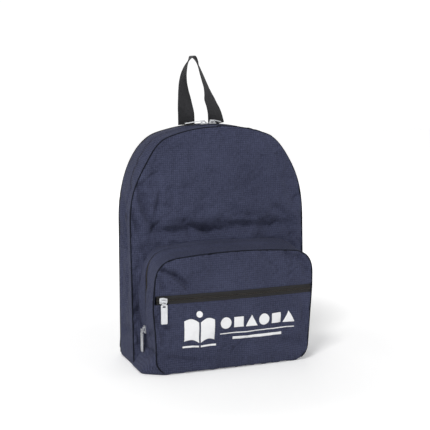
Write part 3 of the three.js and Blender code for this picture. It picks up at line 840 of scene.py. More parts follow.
ZIP_TAPE = {"half_width": 0.010, "split": 0.0004, "below": 0.0019}
ZIP_BEAD = {"step": 0.0013, "size": (0.0010, 0.0021, 0.0012), "aside": 0.0010, "below": 0.0010}
TAPE_THICKNESS = 0.0006
TAPE_CELLS = (200, 6)  # along and across
TAPE_STITCHES = 0.0062  # how far the rows of stitches lie from the zip's middle


def zip_side(tape, tape_node, teeth_name, line, coil_node, where):
    """One side of a zip: a tape with its thickness, and its coil along a line."""
    thicken(tape, TAPE_THICKNESS)
    teeth = beads(teeth_name, [line], COIL, ZIP_BEAD["step"], ZIP_BEAD["size"])
    sewn(tape, where, "black_tape", tape_node)
    sewn(teeth, where, "zip_coil", coil_node)


for word, sign in (("front", -1), ("rear", 1)):
    edges = sorted([sign * ZIP_TAPE["split"], sign * ZIP_TAPE["half_width"]])
    tape = gusset_piece(
        f"main_zip_tape_{word}_cloth",
        split_place,
        1 - split_place,
        zip_line(edges[0]),
        zip_line(edges[1]),
        *TAPE_CELLS,
        (0, 0, 1),
        -ZIP_TAPE["below"],
    )
    tape.data.materials[0] = TAPE
    zip_side(
        tape,
        f"main_zip_tape_{word}",
        f"main_zip_teeth_{word}",
        gusset_line(ZIP_BEHIND + sign * ZIP_BEAD["aside"], -ZIP_BEAD["below"]),
        f"main_zip_coil_{word}",
        FLAP_FOLD if word == "front" else "bag",
    )

THREAD = tape_finish("navy_thread", (0.016, 0.019, 0.04), (0.05, 0.056, 0.105), 0.0006, 0.6)
STITCH = {"step": 0.0034, "size": (0.0026, 0.0006, 0.0005), "lift": 0.0001}


def stitches(name, lines, where):
    """Rows of thread stitches along lines."""
    rows = beads(name, lines, THREAD, STITCH["step"], STITCH["size"])
    sewn(rows, where, "navy_piping")


STITCH_RISE = 0.00015
for word, sign, where in (("front", -1, FLAP_FOLD), ("rear", 1, "bag")):
    line = gusset_line(ZIP_BEHIND + sign * TAPE_STITCHES, STITCH_RISE)
    stitches(f"main_zip_stitches_{word}", [line], where)

# ---- Seam cords ----
# Where the panels meet the gusset their raw edges are bound together, and a thin cord
# lies down in each groove. The front and pocket cords are coloured far darker than the
# cloth, as painted shade for their grooves; the back cord is the black binding tape.


def tube(name, path, radius, finish, sides=8):
    """A round bead along a path, closed at both ends."""
    path = np.asarray(path, float)
    run = unit(np.gradient(path, axis=0))
    aside = unit(np.cross(run, (0, 1, 0.01)))
    other = np.cross(run, aside)
    turn = np.linspace(0, 2 * np.pi, sides + 1)[None, :, None]
    ring = path[:, None] + radius * (np.cos(turn) * aside[:, None] + np.sin(turn) * other[:, None])
    way = lengths(path)
    girth = np.linspace(0, 2 * np.pi * radius, sides + 1)
    cloth = np.stack(np.broadcast_arrays(girth[None], way[:, None]), -1)
    return close_up(grid_mesh(name, ring, cloth, finish))


def close_up(piece):
    """Merges a wrapped grid's edges, fills its open ends and turns its faces outwards."""
    shape = bmesh.new()
    shape.from_mesh(piece.data)
    bmesh.ops.remove_doubles(shape, verts=shape.verts, dist=1e-6)
    open_edges = [edge for edge in shape.edges if edge.is_boundary]
    bmesh.ops.holes_fill(shape, edges=open_edges, sides=0)
    bmesh.ops.recalc_face_normals(shape, faces=shape.faces)
    shape.to_mesh(piece.data)
    shape.free()
    return piece


# Painted shade: the piping is navy cloth, but it is coloured almost black so that the cords read as
# the shadow down in each seam's groove.
SEAM_PIPING_PAINTED_SHADE = woven(
    "piping_weave_painted_shade", (0.004, 0.005, 0.010), (0.012, 0.014, 0.024), 0.0007, 0.0025, 0.05, 0.8
)
# A cord starts at a height called foot, above the fold of the cloth at the base.
CORD = {"radius": 0.0013, "inset": 0.0014, "foot": 0.006}
BACK_CORD = {"radius": 0.0035, "inset": 0.0038, "foot": 0.004}
POCKET_CORD = {"radius": 0.0013, "inset": 0.0014, "foot": 0.0035}


def seam_cord(name, seam, y_rule, size, finish, stride=4):
    """A cord that lies a little inside a seam's path. The rule gives its y from its z."""
    seam = seam[seam[:, 1] > size["foot"]]
    sunk = seam - outward(seam) * size["inset"]
    path = np.stack([sunk[:, 0], y_rule(sunk[:, 1]), sunk[:, 1]], 1)[::stride]
    return tube(name, path, size["radius"], finish)


def in_front_seam(z):
    return seam_y(z) + CORD["inset"]


front_cord = seam_cord("front_seam_cord", front_seam, in_front_seam, CORD, SEAM_PIPING_PAINTED_SHADE)
sewn(front_cord, FLAP_FOLD, "navy_piping", "front_seam_piping")
back_cord = seam_cord("back_seam_cord", body_outline, at_back, BACK_CORD, TAPE)
sewn(back_cord, "bag", "black_tape", "back_seam_binding")

# ---- Sliders and pullers ----
# Die-cast zinc with a satin nickel plating. Each slider rides on a coil, and its puller
# hangs from a small wire bail. Their edges are tumbled smooth.


def plated():
    material, start, shader = new_finish("satin_nickel", Metallic=1.0)
    place = start.place()
    brushed = start.mottle(start.stretched(place, 900.0, 900.0, 140.0), 1.0)
    cloud = start.mottle(place, 120.0, 3.0)
    colour = (0.5 * brushed + 0.5 * cloud).ramp((0.3, 0.0), (0.7, 1.0))
    paint(
        shader,
        start,
        Base_Color=colour.between((0.66, 0.67, 0.69), (0.86, 0.87, 0.89)),
        Roughness=0.38 + 0.16 * cloud,
        Normal=relief(start, brushed, 0.00008, 0.35),
    )
    return material


NICKEL = plated()


def soften(node, finish, width):
    """Gives a CAD node its finish and rounds its sharp edges."""
    dress(node, finish)
    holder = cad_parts[node]
    weld = holder.modifiers.new("weld", "WELD")
    weld.merge_threshold = 0.00001
    bevel = holder.modifiers.new("rounding", "BEVEL")
    bevel.width = width
    bevel.segments = 2
    bevel.limit_method = "ANGLE"
    bevel.angle_limit = math.radians(28)
    bevel.harden_normals = True


for node in (
    "face_slider",
    "main_slider_left",
    "main_slider_right",
    "organiser_slider",
    "main_pull_left",
    "main_pull_right",
    "face_pull_link",
    "organiser_pull_link",
    "face_pull_tab",
    "organiser_pull_tab",
):
    soften(node, NICKEL, 0.00035)

# ---- Front pocket ----
# A shallow pocket of the same cloth on the lower front. Its face is sewn to a gusset,
# and both turn in at the seam. A zip splits the gusset, and a second zip splits the face.
POCKET_HALF, POCKET_TOP = 0.139, 0.196
POCKET_BULGE = 0.006
POCKET_FRONT = -0.065
POCKET_FOLD = 0.037
FACE_ZIP_Z, FACE_ZIP_OPENING = 0.124, 0.0066
ORGANISER_Y = -0.014
ORGANISER_LINE_X = 0.1408  # the slider runs straight up, so the zip lies in a shallow valley
FOOT_CORNER = 0.025
POCKET_FOOT_FOLD = ("bag", "pocket_front", (0, 0, 0.026), (0, 0, 0.048))
FOOT_STEPS, CORNER_STEPS, SIDE_STEPS = 60, 20, 12  # points along half of the pocket's foot


def pocket_half(side, foot_half, corner, bottom, bulge):
    """Half of the pocket's outline from the middle of its foot to the middle of its top,
    as a lower part and an upper part."""
    centre = (foot_half - corner, bottom + corner)
    quarter = arc(centre, corner, -math.pi / 2, 0, CORNER_STEPS)
    lower = np.vstack(
        [
            evenly([(0, bottom), (foot_half - corner, bottom)], FOOT_STEPS),
            evenly(quarter, CORNER_STEPS)[1:],
            evenly([(foot_half, bottom + corner), (POCKET_HALF, POCKET_FOLD)], SIDE_STEPS)[1:],
        ]
    )
    upper = evenly(
        np.vstack(
            [
                [(POCKET_HALF, POCKET_FOLD), (POCKET_HALF, 0.150)],
                bezier(
                    (POCKET_HALF, 0.150), (POCKET_HALF, 0.177), (0.125, 0.189), (0.100, 0.191), 30
                ),
                bezier(
                    (0.100, 0.191), (0.0667, 0.1943), (0.0333, POCKET_TOP), (0.0, POCKET_TOP), 20
                ),
            ]
        ),
        240,
    )
    whole = np.vstack([lower, upper[1:]])
    if side > 0:
        whole[:, 0] *= 1 - 0.06 * np.clip(1 - whole[:, 1] / 0.128, 0, 1)
    else:
        whole[:, 0] += bulge * bump(whole[:, 1], 0.112, 0.040)
    return whole * (side, 1)


pocket_front_path = np.vstack(
    [
        pocket_half(-1, POCKET_HALF, FOOT_CORNER, 0.0005, 0.0045),
        pocket_half(1, POCKET_HALF, FOOT_CORNER, 0.0005, 0)[::-1][1:],
    ]
)
pocket_rear_path = np.vstack(
    [
        pocket_half(-1, 0.158, 0.005, 0.0, 0.0065),
        pocket_half(1, POCKET_HALF, FOOT_CORNER, 0.0, 0)[::-1][1:],
    ]
)
pocket_steps = len(pocket_front_path)
fold_step = FOOT_STEPS + CORNER_STEPS + SIDE_STEPS - 3  # the path's point at the left fold


def pocket_surface(x, z):
    across = np.maximum(0, 1 - np.abs(x / POCKET_HALF) ** 2)
    up = np.sin(np.pi * np.clip(z / POCKET_TOP, 0, 1)) ** 0.5
    return seam_foot_y + POCKET_FRONT - POCKET_BULGE * across * up


FACE_FOLDS = [
    (-0.134, 0.176, -0.104, 0.160, 0.0036, 0.0036),
    (-0.110, 0.168, -0.080, 0.138, 0.0042, 0.0040),
    (-0.132, 0.160, -0.122, 0.140, 0.0036, 0.0024),
    (0.084, 0.188, 0.108, 0.176, 0.0050, 0.0024),
    (0.112, 0.180, 0.130, 0.150, 0.0055, 0.0026),
    (-0.136, 0.086, -0.122, 0.060, 0.0050, 0.0022),
    (-0.128, 0.030, -0.060, 0.016, 0.0060, 0.0022),
    (-0.060, 0.052, 0.020, 0.044, 0.0100, 0.0014),
    (0.070, 0.040, 0.128, 0.026, 0.0080, 0.0026),
    (0.120, 0.110, 0.126, 0.064, 0.0060, 0.0022),
]


FACE_LOOK = {
    "lines": FACE_FOLDS,
    "folds": 1.8,
    "ruffles": ((0.0026, 18, 6.6), (0.0016, 58, 2.4)),
    "wrinkles": ((0.0030, 0, 24, 7.2, -0.6), (0.0026, 0, 28, 4.1, 0.4)),
}


def face_depth(x, z, gap):
    """The pocket face with its folds, flat beside the zip and turned in at the seam."""
    calm = smooth(gap, 0.0, 0.009) * (0.25 + 0.75 * smooth(np.abs(z - FACE_ZIP_Z), 0.006, 0.03))
    return pocket_surface(x, z) + calm * worn(x, z, FACE_LOOK) + rolled(gap)


left_corner = FOOT_STEPS + CORNER_STEPS // 2 - 1  # half way round the left foot corner
right_corner = pocket_steps - 1 - left_corner
low_zip_z, high_zip_z = FACE_ZIP_Z - FACE_ZIP_OPENING, FACE_ZIP_Z + FACE_ZIP_OPENING
rising = np.arange(pocket_steps) < pocket_steps // 2


def step_at(height, left):
    """The path's point nearest a height, on the left or the right."""
    side = rising if left else ~rising
    gap = np.abs(pocket_front_path[:, 1] - height) + 9 * (~side)
    return int(np.argmin(gap))


low_left, low_right = step_at(low_zip_z, True), step_at(low_zip_z, False)
high_left, high_right = step_at(high_zip_z, True), step_at(high_zip_z, False)
top_left, top_right = step_at(0.183, True), step_at(0.183, False)
bottom_line = np.vstack(
    [pocket_front_path[: left_corner + 1][::-1], pocket_front_path[right_corner:][::-1][1:]]
)
face_patches = {
    "pocket_face_below_zip": patch(
        bottom_line,
        np.array([pocket_front_path[low_left], pocket_front_path[low_right]]),
        pocket_front_path[left_corner : low_left + 1],
        pocket_front_path[low_right : right_corner + 1][::-1],
        180,
        96,
    ),
    "pocket_face_above_zip": patch(
        np.array([pocket_front_path[high_left], pocket_front_path[high_right]]),
        pocket_front_path[top_left : top_right + 1],
        pocket_front_path[high_left : top_left + 1],
        pocket_front_path[top_right : high_right + 1][::-1],
        180,
        56,
    ),
}
face_trees = {}


def tree_of(piece):
    """A search tree of a piece's faces."""
    mesh = piece.data
    return BVHTree.FromPolygons(
        [vertex.co[:] for vertex in mesh.vertices], [face.vertices[:] for face in mesh.polygons]
    )


for name, flat in face_patches.items():
    x, z = flat[..., 0], flat[..., 1]
    gap, way, out = nearest_on(pocket_front_path, x, z)
    zip_gap = np.abs(z - FACE_ZIP_Z) - FACE_ZIP_OPENING
    y = face_depth(x, z, gap) + 0.6 * rolled(np.maximum(zip_gap, 0), 0.0018) + pucker(way, gap)
    tucked = flat - out * groove(gap)[..., None]
    points = np.stack([tucked[..., 0], y, tucked[..., 1]], -1)
    face = grid_mesh(name, points, np.stack([x, z], -1), NAVY, (0, -1, 0))
    face_trees[name] = tree_of(face)
    if name == "pocket_face_below_zip":
        panel(face, POCKET_FOOT_FOLD, "pocket_face_base", "pocket_face_lower")
    else:
        panel(face, "pocket_front", "pocket_face_upper")

POCKET_STEP = 0.00155  # the usual distance between two points of the pocket's outline
POCKET_RISE = 0.009  # how far the pocket's top rises towards the bag
SLIT_DEPTH = 0.0022  # how far the zip sinks below the parted cloth
REAR_LIP_DEPTH = 0.0020  # how far the cloth behind the zip is pressed in beside it
SLIT_HEIGHT, SLIT_SPREAD, SLIT_WIDTH = 0.146, 0.032, 0.0072
POCKET_SIDE_FOLDS = [
    (0.012, 0.150, 0.034, 0.096, 0.0050, 0.0022),
    (0.010, 0.072, 0.040, 0.058, 0.0045, 0.0030),
    (0.030, 0.120, 0.040, 0.060, 0.0055, 0.0020),
    (0.008, 0.040, 0.050, 0.026, 0.0050, 0.0026),
]


def pocket_point(step, depth, lift=0.0):
    """A point of the pocket's gusset: step counts along the outline, depth is from 0 at
    the face to 1 at the bag."""
    index = np.arange(pocket_steps)
    front = on_path(pocket_front_path, index, step)
    rear = on_path(pocket_rear_path, index, step)
    out = unit(on_path(outward(pocket_rear_path), index, step))
    share = np.minimum(1, 3 * depth)[..., None]
    base = front * (1 - share) + rear * share
    y_front = seam_foot_y + POCKET_FRONT
    y_back = front_surface(base[..., 0], base[..., 1]) + 0.004
    y = y_front + (y_back - y_front) * depth
    rise = POCKET_RISE * smooth(base[..., 1], 0.150, POCKET_TOP)
    rise = rise * np.clip((y - y_front) / -POCKET_FRONT, 0, 1)
    run = y - y_front
    side = smooth(0.186 - base[..., 1], 0, 0.05) * smooth(base[..., 1], 0.004, 0.03)
    folds = creases(run, base[..., 1], POCKET_SIDE_FOLDS)
    folds = folds + 0.0012 * ruffle(run, base[..., 1] + 3 * np.sign(base[..., 0]), 26, 9.3)
    by_zip = np.abs(y - seam_foot_y - ORGANISER_Y)
    loose = np.sin(np.pi * np.clip(depth, 0, 1)) ** 0.8 * smooth(by_zip, 0.007, 0.016)
    top_sag = 0.0022 * (1 - side) * loose * smooth(base[..., 1], 0.03, 0.1)
    wide = np.maximum(0, -base[..., 0] - ORGANISER_LINE_X) * (1 - smooth(by_zip, 0.008, 0.018))
    valley = wide * smooth(base[..., 1], 0.050, 0.062) * (1 - smooth(base[..., 1], 0.150, 0.165))
    offset = -rolled(run) - 1.7 * side * loose * folds - top_sag - valley
    offset = offset + pucker(step * POCKET_STEP, run)
    moved = base + out * (offset + lift)[..., None]
    return np.stack([moved[..., 0], y + groove(run), np.maximum(moved[..., 1] + rise, 0.0)], -1)


def organiser_depth(step, shift):
    """The share of the depth at which the organiser zip's line lies, shifted back."""
    base = on_path(pocket_rear_path, np.arange(pocket_steps), step)
    y_back = front_surface(base[..., 0], base[..., 1]) + 0.004 - seam_foot_y
    return (ORGANISER_Y + shift - POCKET_FRONT) / (y_back - POCKET_FRONT)


def zero(step):
    return np.zeros_like(step)


def one(step):
    return np.ones_like(step)


def pocket_band(name, first, last, near, far, columns, rows, outside, finish, lift=0.0):
    """A band of the pocket's gusset between two steps and two shares of its depth."""
    step = spread(first, last, columns, rows)
    share = crowded(rows, CROWDING * (near is zero), 0)[None, :]
    depth = near(step) * (1 - share) + far(step) * share
    points = pocket_point(step, depth, lift(step, share) if callable(lift) else lift)
    cloth = np.stack([points[..., 1], step * POCKET_STEP], -1)
    return grid_mesh(name, points, cloth, finish, outside)


def slit(step):
    """How far the cloth parts over the zip: fully at the pocket's upper left only."""
    base = on_path(pocket_rear_path, np.arange(pocket_steps), step)
    return (base[..., 0] < 0) * bump(base[..., 1], SLIT_HEIGHT, SLIT_SPREAD)


def open_by(step):
    return 0.0002 + SLIT_WIDTH * slit(step)


def depth_line(shift):
    """A line round the pocket at a distance behind or before the organiser zip's middle."""
    return lambda step: organiser_depth(step, shift)


right_fold = pocket_steps - 1 - fold_step
gusset_steps = (fold_step, right_fold)
pocket_gusset_front = pocket_band(
    "pocket_gusset_before_zip",
    *gusset_steps,
    zero,
    lambda step: organiser_depth(step, -open_by(step)),
    230,
    26,
    (0, 0, 1),
    NAVY,
    lambda step, share: -SLIT_DEPTH * slit(step) * smooth(share, 0.6, 1.0),
)
panel(pocket_gusset_front, POCKET_FOOT_FOLD, "pocket_gusset_front")
pocket_gusset_rear = pocket_band(
    "pocket_gusset_behind_zip",
    *gusset_steps,
    lambda step: organiser_depth(step, 0.35 * open_by(step)),
    one,
    230,
    12,
    (0, 0, 1),
    NAVY,
    lambda step, share: -REAR_LIP_DEPTH * slit(step) * (1 - smooth(share, 0.0, 0.6)),
)
panel(pocket_gusset_rear, "bag", "pocket_gusset_rear")

foot_steps = np.r_[np.arange(right_fold, pocket_steps), np.arange(0, fold_step + 1)]
FOOT_ROWS = 24
foot_share = crowded(FOOT_ROWS, CROWDING, 0)
foot_flat, foot_share = np.meshgrid(foot_steps[::-1].astype(float), foot_share, indexing="ij")
foot_points = pocket_point(foot_flat, foot_share)
foot_cloth = np.stack([foot_points[..., 1], foot_points[..., 0]], -1)
pocket_foot = grid_mesh("pocket_foot", foot_points, foot_cloth, NAVY, (0, 0, -1))
panel(pocket_foot, "bag", "pocket_side_left", "pocket_side_right", "pocket_base_strip")


def in_pocket_seam(z):
    return np.full_like(z, seam_foot_y + POCKET_FRONT + POCKET_CORD["inset"])


# The pocket's seam cord takes the same almost black piping colour: painted shade for its groove.
pocket_cord = seam_cord(
    "pocket_seam_cord", pocket_front_path, in_pocket_seam, POCKET_CORD, SEAM_PIPING_PAINTED_SHADE, 3
)
sewn(pocket_cord, POCKET_FOOT_FOLD, "navy_piping", "pocket_piping")

# ---- Organiser zip ----
# The zip round the pocket's gusset, made like the main zip. Its cloth edges lie almost
# together, and part in a dark slit at the pocket's upper left.
for word, sign in (("front", -1), ("rear", 1)):
    near, far = sorted([ZIP_TAPE["split"] * sign, ZIP_TAPE["half_width"] * sign])
    tape = pocket_band(
        f"organiser_zip_tape_{word}_cloth",
        *gusset_steps,
        depth_line(near),
        depth_line(far),
        *TAPE_CELLS,
        (0, 0, 1),
        TAPE,
        lambda step, share: -ZIP_TAPE["below"] - SLIT_DEPTH * slit(step),
    )
    step = spread(*gusset_steps, 400, 3)
    shifts = sign * ZIP_BEAD["aside"] + LINE_BAND
    sunk_teeth = -ZIP_BEAD["below"] - SLIT_DEPTH * slit(step)
    strip_points = pocket_point(step, organiser_depth(step, shifts), sunk_teeth)
    zip_side(
        tape,
        f"organiser_zip_tape_{word}",
        f"organiser_zip_teeth_{word}",
        line_on(strip_points, (0, 0, 1)),
        f"organiser_zip_coil_{word}",
        POCKET_FOOT_FOLD if word == "front" else "bag",
    )

# ---- Face zip ----
# A zip across the pocket's face from seam to seam, with its black tape showing on both
# sides of the coil. A row of stitches holds each tape under the cloth's folded edge.
FACE_ZIP_HALF, FACE_TAPE_HALF = 0.1365, 0.012
FACE_STITCH_HALF, FACE_STITCHES = 0.134, 0.0092
face_x = np.linspace(-FACE_ZIP_HALF, FACE_ZIP_HALF, 160)
for word, sign in (("lower", -1), ("upper", 1)):
    z_edges = sorted(FACE_ZIP_Z + sign * np.array([ZIP_TAPE["split"], FACE_TAPE_HALF]))
    x, z = np.meshgrid(face_x, np.linspace(*z_edges, 8), indexing="ij")
    gap = nearest_on(pocket_front_path[::2], x, z)[0]
    y = face_depth(x, z, gap) + ZIP_TAPE["below"]
    tape = grid_mesh(
        f"face_zip_tape_{word}_cloth",
        np.stack([x, y, z], -1),
        np.stack([z, x], -1),
        TAPE,
        (0, -1, 0),
    )
    z_line = np.full_like(face_x, FACE_ZIP_Z + sign * ZIP_BEAD["aside"])
    gap = nearest_on(pocket_front_path[::2], face_x, z_line)[0]
    y_line = face_depth(face_x, z_line, gap) + CLOTH_THICKNESS
    path = np.stack([face_x, y_line, z_line], 1)
    zip_side(
        tape,
        f"face_zip_tape_{word}",
        f"face_zip_teeth_{word}",
        (path, (0, -1, 0)),
        "face_zip_coil",
        "pocket_front",
    )


def on_face(x, z, lift):
    """Points on the pocket's face, raised from it."""
    placed = []
    for a, b in zip(x, z):
        tree = face_trees["pocket_face_above_zip" if b > FACE_ZIP_Z else "pocket_face_below_zip"]
        hit = tree.ray_cast(Vector((a, -1, b)), Vector((0, 1, 0)))[0]
        y = hit.y if hit else tree.find_nearest(Vector((a, -0.1, b)))[0].y
        placed.append((a, y - lift, b))
    return np.array(placed)


stitch_x = np.linspace(-FACE_STITCH_HALF, FACE_STITCH_HALF, 180)
for word, sign in (("lower", -1), ("upper", 1)):
    height = FACE_ZIP_Z + sign * FACE_STITCHES
    line = on_face(stitch_x, np.full_like(stitch_x, height), STITCH["lift"])
    stitches(f"face_zip_stitches_{word}", [(line, (0, -1, 0))], "pocket_front")

# ---- Print ----
# A plain white screen print on the lower part of the pocket's face: an open book and a row
# of simple shapes over two bars. The ink is a thin skin on the cloth.


def printed(name, outlines, finish, cell=0.0016, lift=0.0006):
    """Flat shapes cut into small cells and laid on the pocket's face."""
    shape = bmesh.new()
    for outline in outlines:
        shape.faces.new([shape.verts.new((x, 0, z)) for x, z in outline])
    low, high = np.min(np.vstack(outlines), axis=0), np.max(np.vstack(outlines), axis=0)
    for axis, direction in ((0, (1, 0, 0)), (1, (0, 0, 1))):
        for at in np.arange(low[axis], high[axis], cell)[1:]:
            place = np.array(direction) * at
            everything = shape.verts[:] + shape.edges[:] + shape.faces[:]
            bmesh.ops.bisect_plane(shape, geom=everything, plane_co=place, plane_no=direction)
    flat = np.array([vertex.co for vertex in shape.verts])
    for vertex, point in zip(shape.verts, on_face(flat[:, 0], flat[:, 2], lift)):
        vertex.co = point
    bmesh.ops.triangulate(shape, faces=shape.faces)
    bmesh.ops.recalc_face_normals(shape, faces=shape.faces)
    if sum(face.normal.y for face in shape.faces) > 0:
        bmesh.ops.reverse_faces(shape, faces=shape.faces)
    mesh = bpy.data.meshes.new(name)
    shape.to_mesh(mesh)
    shape.free()
    for polygon in mesh.polygons:
        polygon.use_smooth = True
    mesh.materials.append(finish)
    return placed(name, mesh)


INK_THICKNESS = 0.0002
ink_finish, start, shader = new_finish("white_ink", Roughness=0.55)
place = start.place()
cover = start.mottle(place, 900.0)
paint(
    shader,
    start,
    Base_Color=cover.between((0.74, 0.75, 0.78), (0.9, 0.9, 0.9)),
    Normal=relief(start, cover, 0.0002, 0.4),
)


BOOK = (-0.066, 0.050)  # the foot of the book's spine
PAGE = {"height": 0.034, "bow": 0.0045, "lift": 0.003, "from_spine": 0.0014}


def page(side, reach):
    """One leaf of the book, from the spine out, its edges bowed."""
    t = np.linspace(0, 1, 14)
    bow = PAGE["bow"] * np.sin(np.pi * t) + PAGE["lift"] * t
    x = BOOK[0] + side * (PAGE["from_spine"] + reach * t)
    top = np.stack([x, BOOK[1] + PAGE["height"] + bow], 1)
    bottom = np.stack([x, BOOK[1] + bow], 1)
    return np.vstack([top, bottom[::-1]])


def disc(x, z, radius, count=28):
    turn = np.linspace(0, 2 * np.pi, count, endpoint=False)
    return np.stack([x + radius * np.cos(turn), z + radius * np.sin(turn)], 1)


SHAPE_Z, SHAPE_SIZE = 0.079, 0.0095
BARS = ((-0.031, 0.103, 0.0605, 0.0622), (-0.008, 0.080, 0.0500, 0.0545))  # x, x, z, z
cover_shift = (0, BOOK[1] * 0.91 - 0.0075)
book = [page(side, 0.024) for side in (-1, 1)]
book += [page(side, 0.027) * (1, 0.09) + cover_shift for side in (-1, 1)]
book.append(disc(BOOK[0], BOOK[1] + 0.047, 0.0052))
row = []
for index, x in enumerate(np.linspace(-0.021, 0.093, 6)):
    if index % 3 == 0:
        row.append(disc(x, SHAPE_Z, SHAPE_SIZE))
    elif index % 3 == 1:
        corners = np.array([(-1, -1), (1, -1), (1, 1), (-1, 1)]) * SHAPE_SIZE * 0.9
        row.append(corners + (x, SHAPE_Z))
    else:
        corners = np.array([(-1.1, -0.95), (1.1, -0.95), (0, 1.05)]) * SHAPE_SIZE
        row.append(corners + (x, SHAPE_Z))
for left, right, low, high in BARS:
    row.append(np.array([(left, low), (right, low), (right, high), (left, high)]))
for name, outlines in (("print_book", book), ("print_row", row)):
    ink = printed(name, outlines, ink_finish)
    thicken(ink, INK_THICKNESS)
    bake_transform(ink)

# ---- Grab handle ----
# One length of 30 mm black polypropylene webbing. Both ends are caught in the seam at
# the top of the back, and the loop between them twists, so its peak stands edge on.
HANDLE_STATIONS = [  # x, z and how far the webbing has turned, in degrees
    (-0.0312, 0.3935, 0),
    (-0.0321, 0.4098, 2),
    (-0.0341, 0.4240, 13),
    (-0.0354, 0.4385, 25),
    (-0.0365, 0.4525, 36),
    (-0.0367, 0.4667, 45),
    (-0.0352, 0.4808, 53),
    (-0.0315, 0.4935, 62),
    (-0.0262, 0.5040, 74),
    (-0.0205, 0.5098, 90),
    (-0.0142, 0.5035, 78),
    (-0.0090, 0.4925, 68),
    (-0.0040, 0.4808, 62),
    (0.0008, 0.4690, 58),
    (0.0052, 0.4570, 54),
    (0.0082, 0.4460, 45),
    (0.0104, 0.4370, 34),
    (0.0148, 0.4260, 30),
    (0.0202, 0.4110, 18),
    (0.0240, 0.3935, 1),
]
WEBBING = tape_finish("ribbed_webbing", (0.007, 0.007, 0.008), (0.042, 0.042, 0.046), 0.0019, 0.62)


def smooth_path(stations, steps):
    """A smooth path through stations, which may carry more numbers than a place."""
    stations = np.asarray(stations, float)
    count = len(stations)
    at = np.linspace(0, count - 1 - 1e-9, steps)
    low = at.astype(int)
    t = (at - low)[:, None]
    before = stations[np.maximum(low - 1, 0)]
    a, b = stations[low], stations[low + 1]
    after = stations[np.minimum(low + 2, count - 1)]
    return 0.5 * (
        2 * a
        + (b - before) * t
        + (2 * before - 5 * a + 4 * b - after) * t**2
        + (3 * a - before - 3 * b + after) * t**3
    )


def strap_section(width, thickness, sides=9, power=6):
    """A flat oblong with rounded edges, as points across and out."""
    turn = np.linspace(0, 2 * np.pi, 4 * sides + 1)
    c, s = np.cos(turn), np.sin(turn)
    x = np.sign(c) * np.abs(c) ** (2 / power)
    y = np.sign(s) * np.abs(s) ** (2 / power)
    return np.stack([x * width / 2, y * thickness / 2], 1)


def webbing_strip(name, path, across, width, thickness, finish, ripple=0.0, power=6):
    """A closed strip along a path. Width is one number, or one for each step."""
    path, across = np.asarray(path, float), np.asarray(across, float)
    run = unit(np.gradient(path, axis=0))
    across = unit(across - run * (across * run).sum(1)[:, None])
    out = np.cross(across, run)
    way = lengths(path)
    section = strap_section(1.0, 1.0, power=power)
    widths = np.broadcast_to(np.asarray(width, float), (len(path),))
    wobble = ripple * np.sin(way * 420)[:, None] * np.abs(section[None, :, 0]) ** 2
    ring = (
        path[:, None]
        + across[:, None] * (section[None, :, :1] * widths[:, None, None])
        + out[:, None] * (section[None, :, 1:] * thickness + wobble[..., None])
    )
    length = np.abs(np.diff(section * (float(widths.max()), thickness), axis=0)).sum(1)
    girth = np.r_[0, np.cumsum(length)]
    cloth = np.stack(np.broadcast_arrays(girth[None], way[:, None]), -1)
    return close_up(grid_mesh(name, ring, cloth, finish))


stations = smooth_path(HANDLE_STATIONS, 150)
turn = np.radians(stations[:, 2])
HANDLE_WIDTH, HANDLE_THICKNESS = 0.030, 0.0021
handle_y = seam_foot_y + 0.086
lean = 0.0015 * np.sin(stations[:, 1] * 70)
handle_path = np.stack([stations[:, 0], handle_y + lean, stations[:, 1]], 1)
handle_across = np.stack([np.cos(turn), np.sin(turn), 0 * turn], 1)
peak = bump(stations[:, 0] + 2 * (0.509 - stations[:, 1]), -0.0205, 0.02)
widths = HANDLE_WIDTH - 0.004 * peak  # the webbing crumples a little at the loop's peak
handle = webbing_strip(
    "webbing_handle", handle_path, handle_across, widths, HANDLE_THICKNESS, WEBBING, 0.00012
)
sewn(handle, "handle", "black_webbing", "grab_handle")

# ---- Back panel ----
# Two layers of the same cloth over closed-cell foam. Sewn channels divide the pad, and
# its edge is caught in the back seam.
back_low, back_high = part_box("back_panel")
PAD_DEPTH = back_high.y - back_low.y


def puff(piece, voxel, pressure, cap, cell=0.004):
    """Swells a closed pad as its filling would, then keeps the shape."""
    remesh = piece.modifiers.new("even", "REMESH")
    remesh.mode = "VOXEL"
    remesh.voxel_size = voxel
    settle(piece)
    before = np.array([v.co for v in piece.data.vertices])
    cloth = piece.modifiers.new("filling", "CLOTH")
    cloth.settings.quality = 5
    cloth.settings.use_pressure = True
    cloth.settings.uniform_pressure_force = pressure
    cloth.settings.tension_stiffness = 18
    cloth.settings.compression_stiffness = 18
    cloth.settings.bending_stiffness = 0.6
    cloth.settings.effector_weights.gravity = 0
    cloth.point_cache.frame_start = 1
    cloth.point_cache.frame_end = 20
    for step in range(1, 21):
        bpy.context.scene.frame_set(step)
    settle(piece)
    bpy.context.scene.frame_set(1)
    after = np.array([v.co for v in piece.data.vertices])
    move = after - before
    far = np.linalg.norm(move, axis=1)
    move *= np.minimum(1, cap / np.maximum(far, 1e-9))[:, None]
    piece.data.vertices.foreach_set("co", (before + move).ravel().astype(np.float32))
    fine = piece.modifiers.new("fine", "SUBSURF")
    fine.levels = fine.render_levels = 1
    settle(piece)
    piece.data.polygons.foreach_set("use_smooth", [True] * len(piece.data.polygons))
    return piece


def clad(piece):
    """Covers a pad with the navy cloth, mapped as it is seen from behind."""
    layer = piece.data.uv_layers.get("cloth") or piece.data.uv_layers.new(name="cloth")
    loops = np.zeros(len(piece.data.loops), np.int32)
    piece.data.loops.foreach_get("vertex_index", loops)
    places = np.array([v.co for v in piece.data.vertices])[:, (0, 2)]
    layer.data.foreach_set("uv", places[loops].ravel().astype(np.float32))
    piece.data.materials.clear()
    piece.data.materials.append(NAVY)


def move_vertices(piece, rule):
    places = np.array([v.co for v in piece.data.vertices])
    piece.data.vertices.foreach_set("co", rule(places).ravel().astype(np.float32))
    piece.data.update()


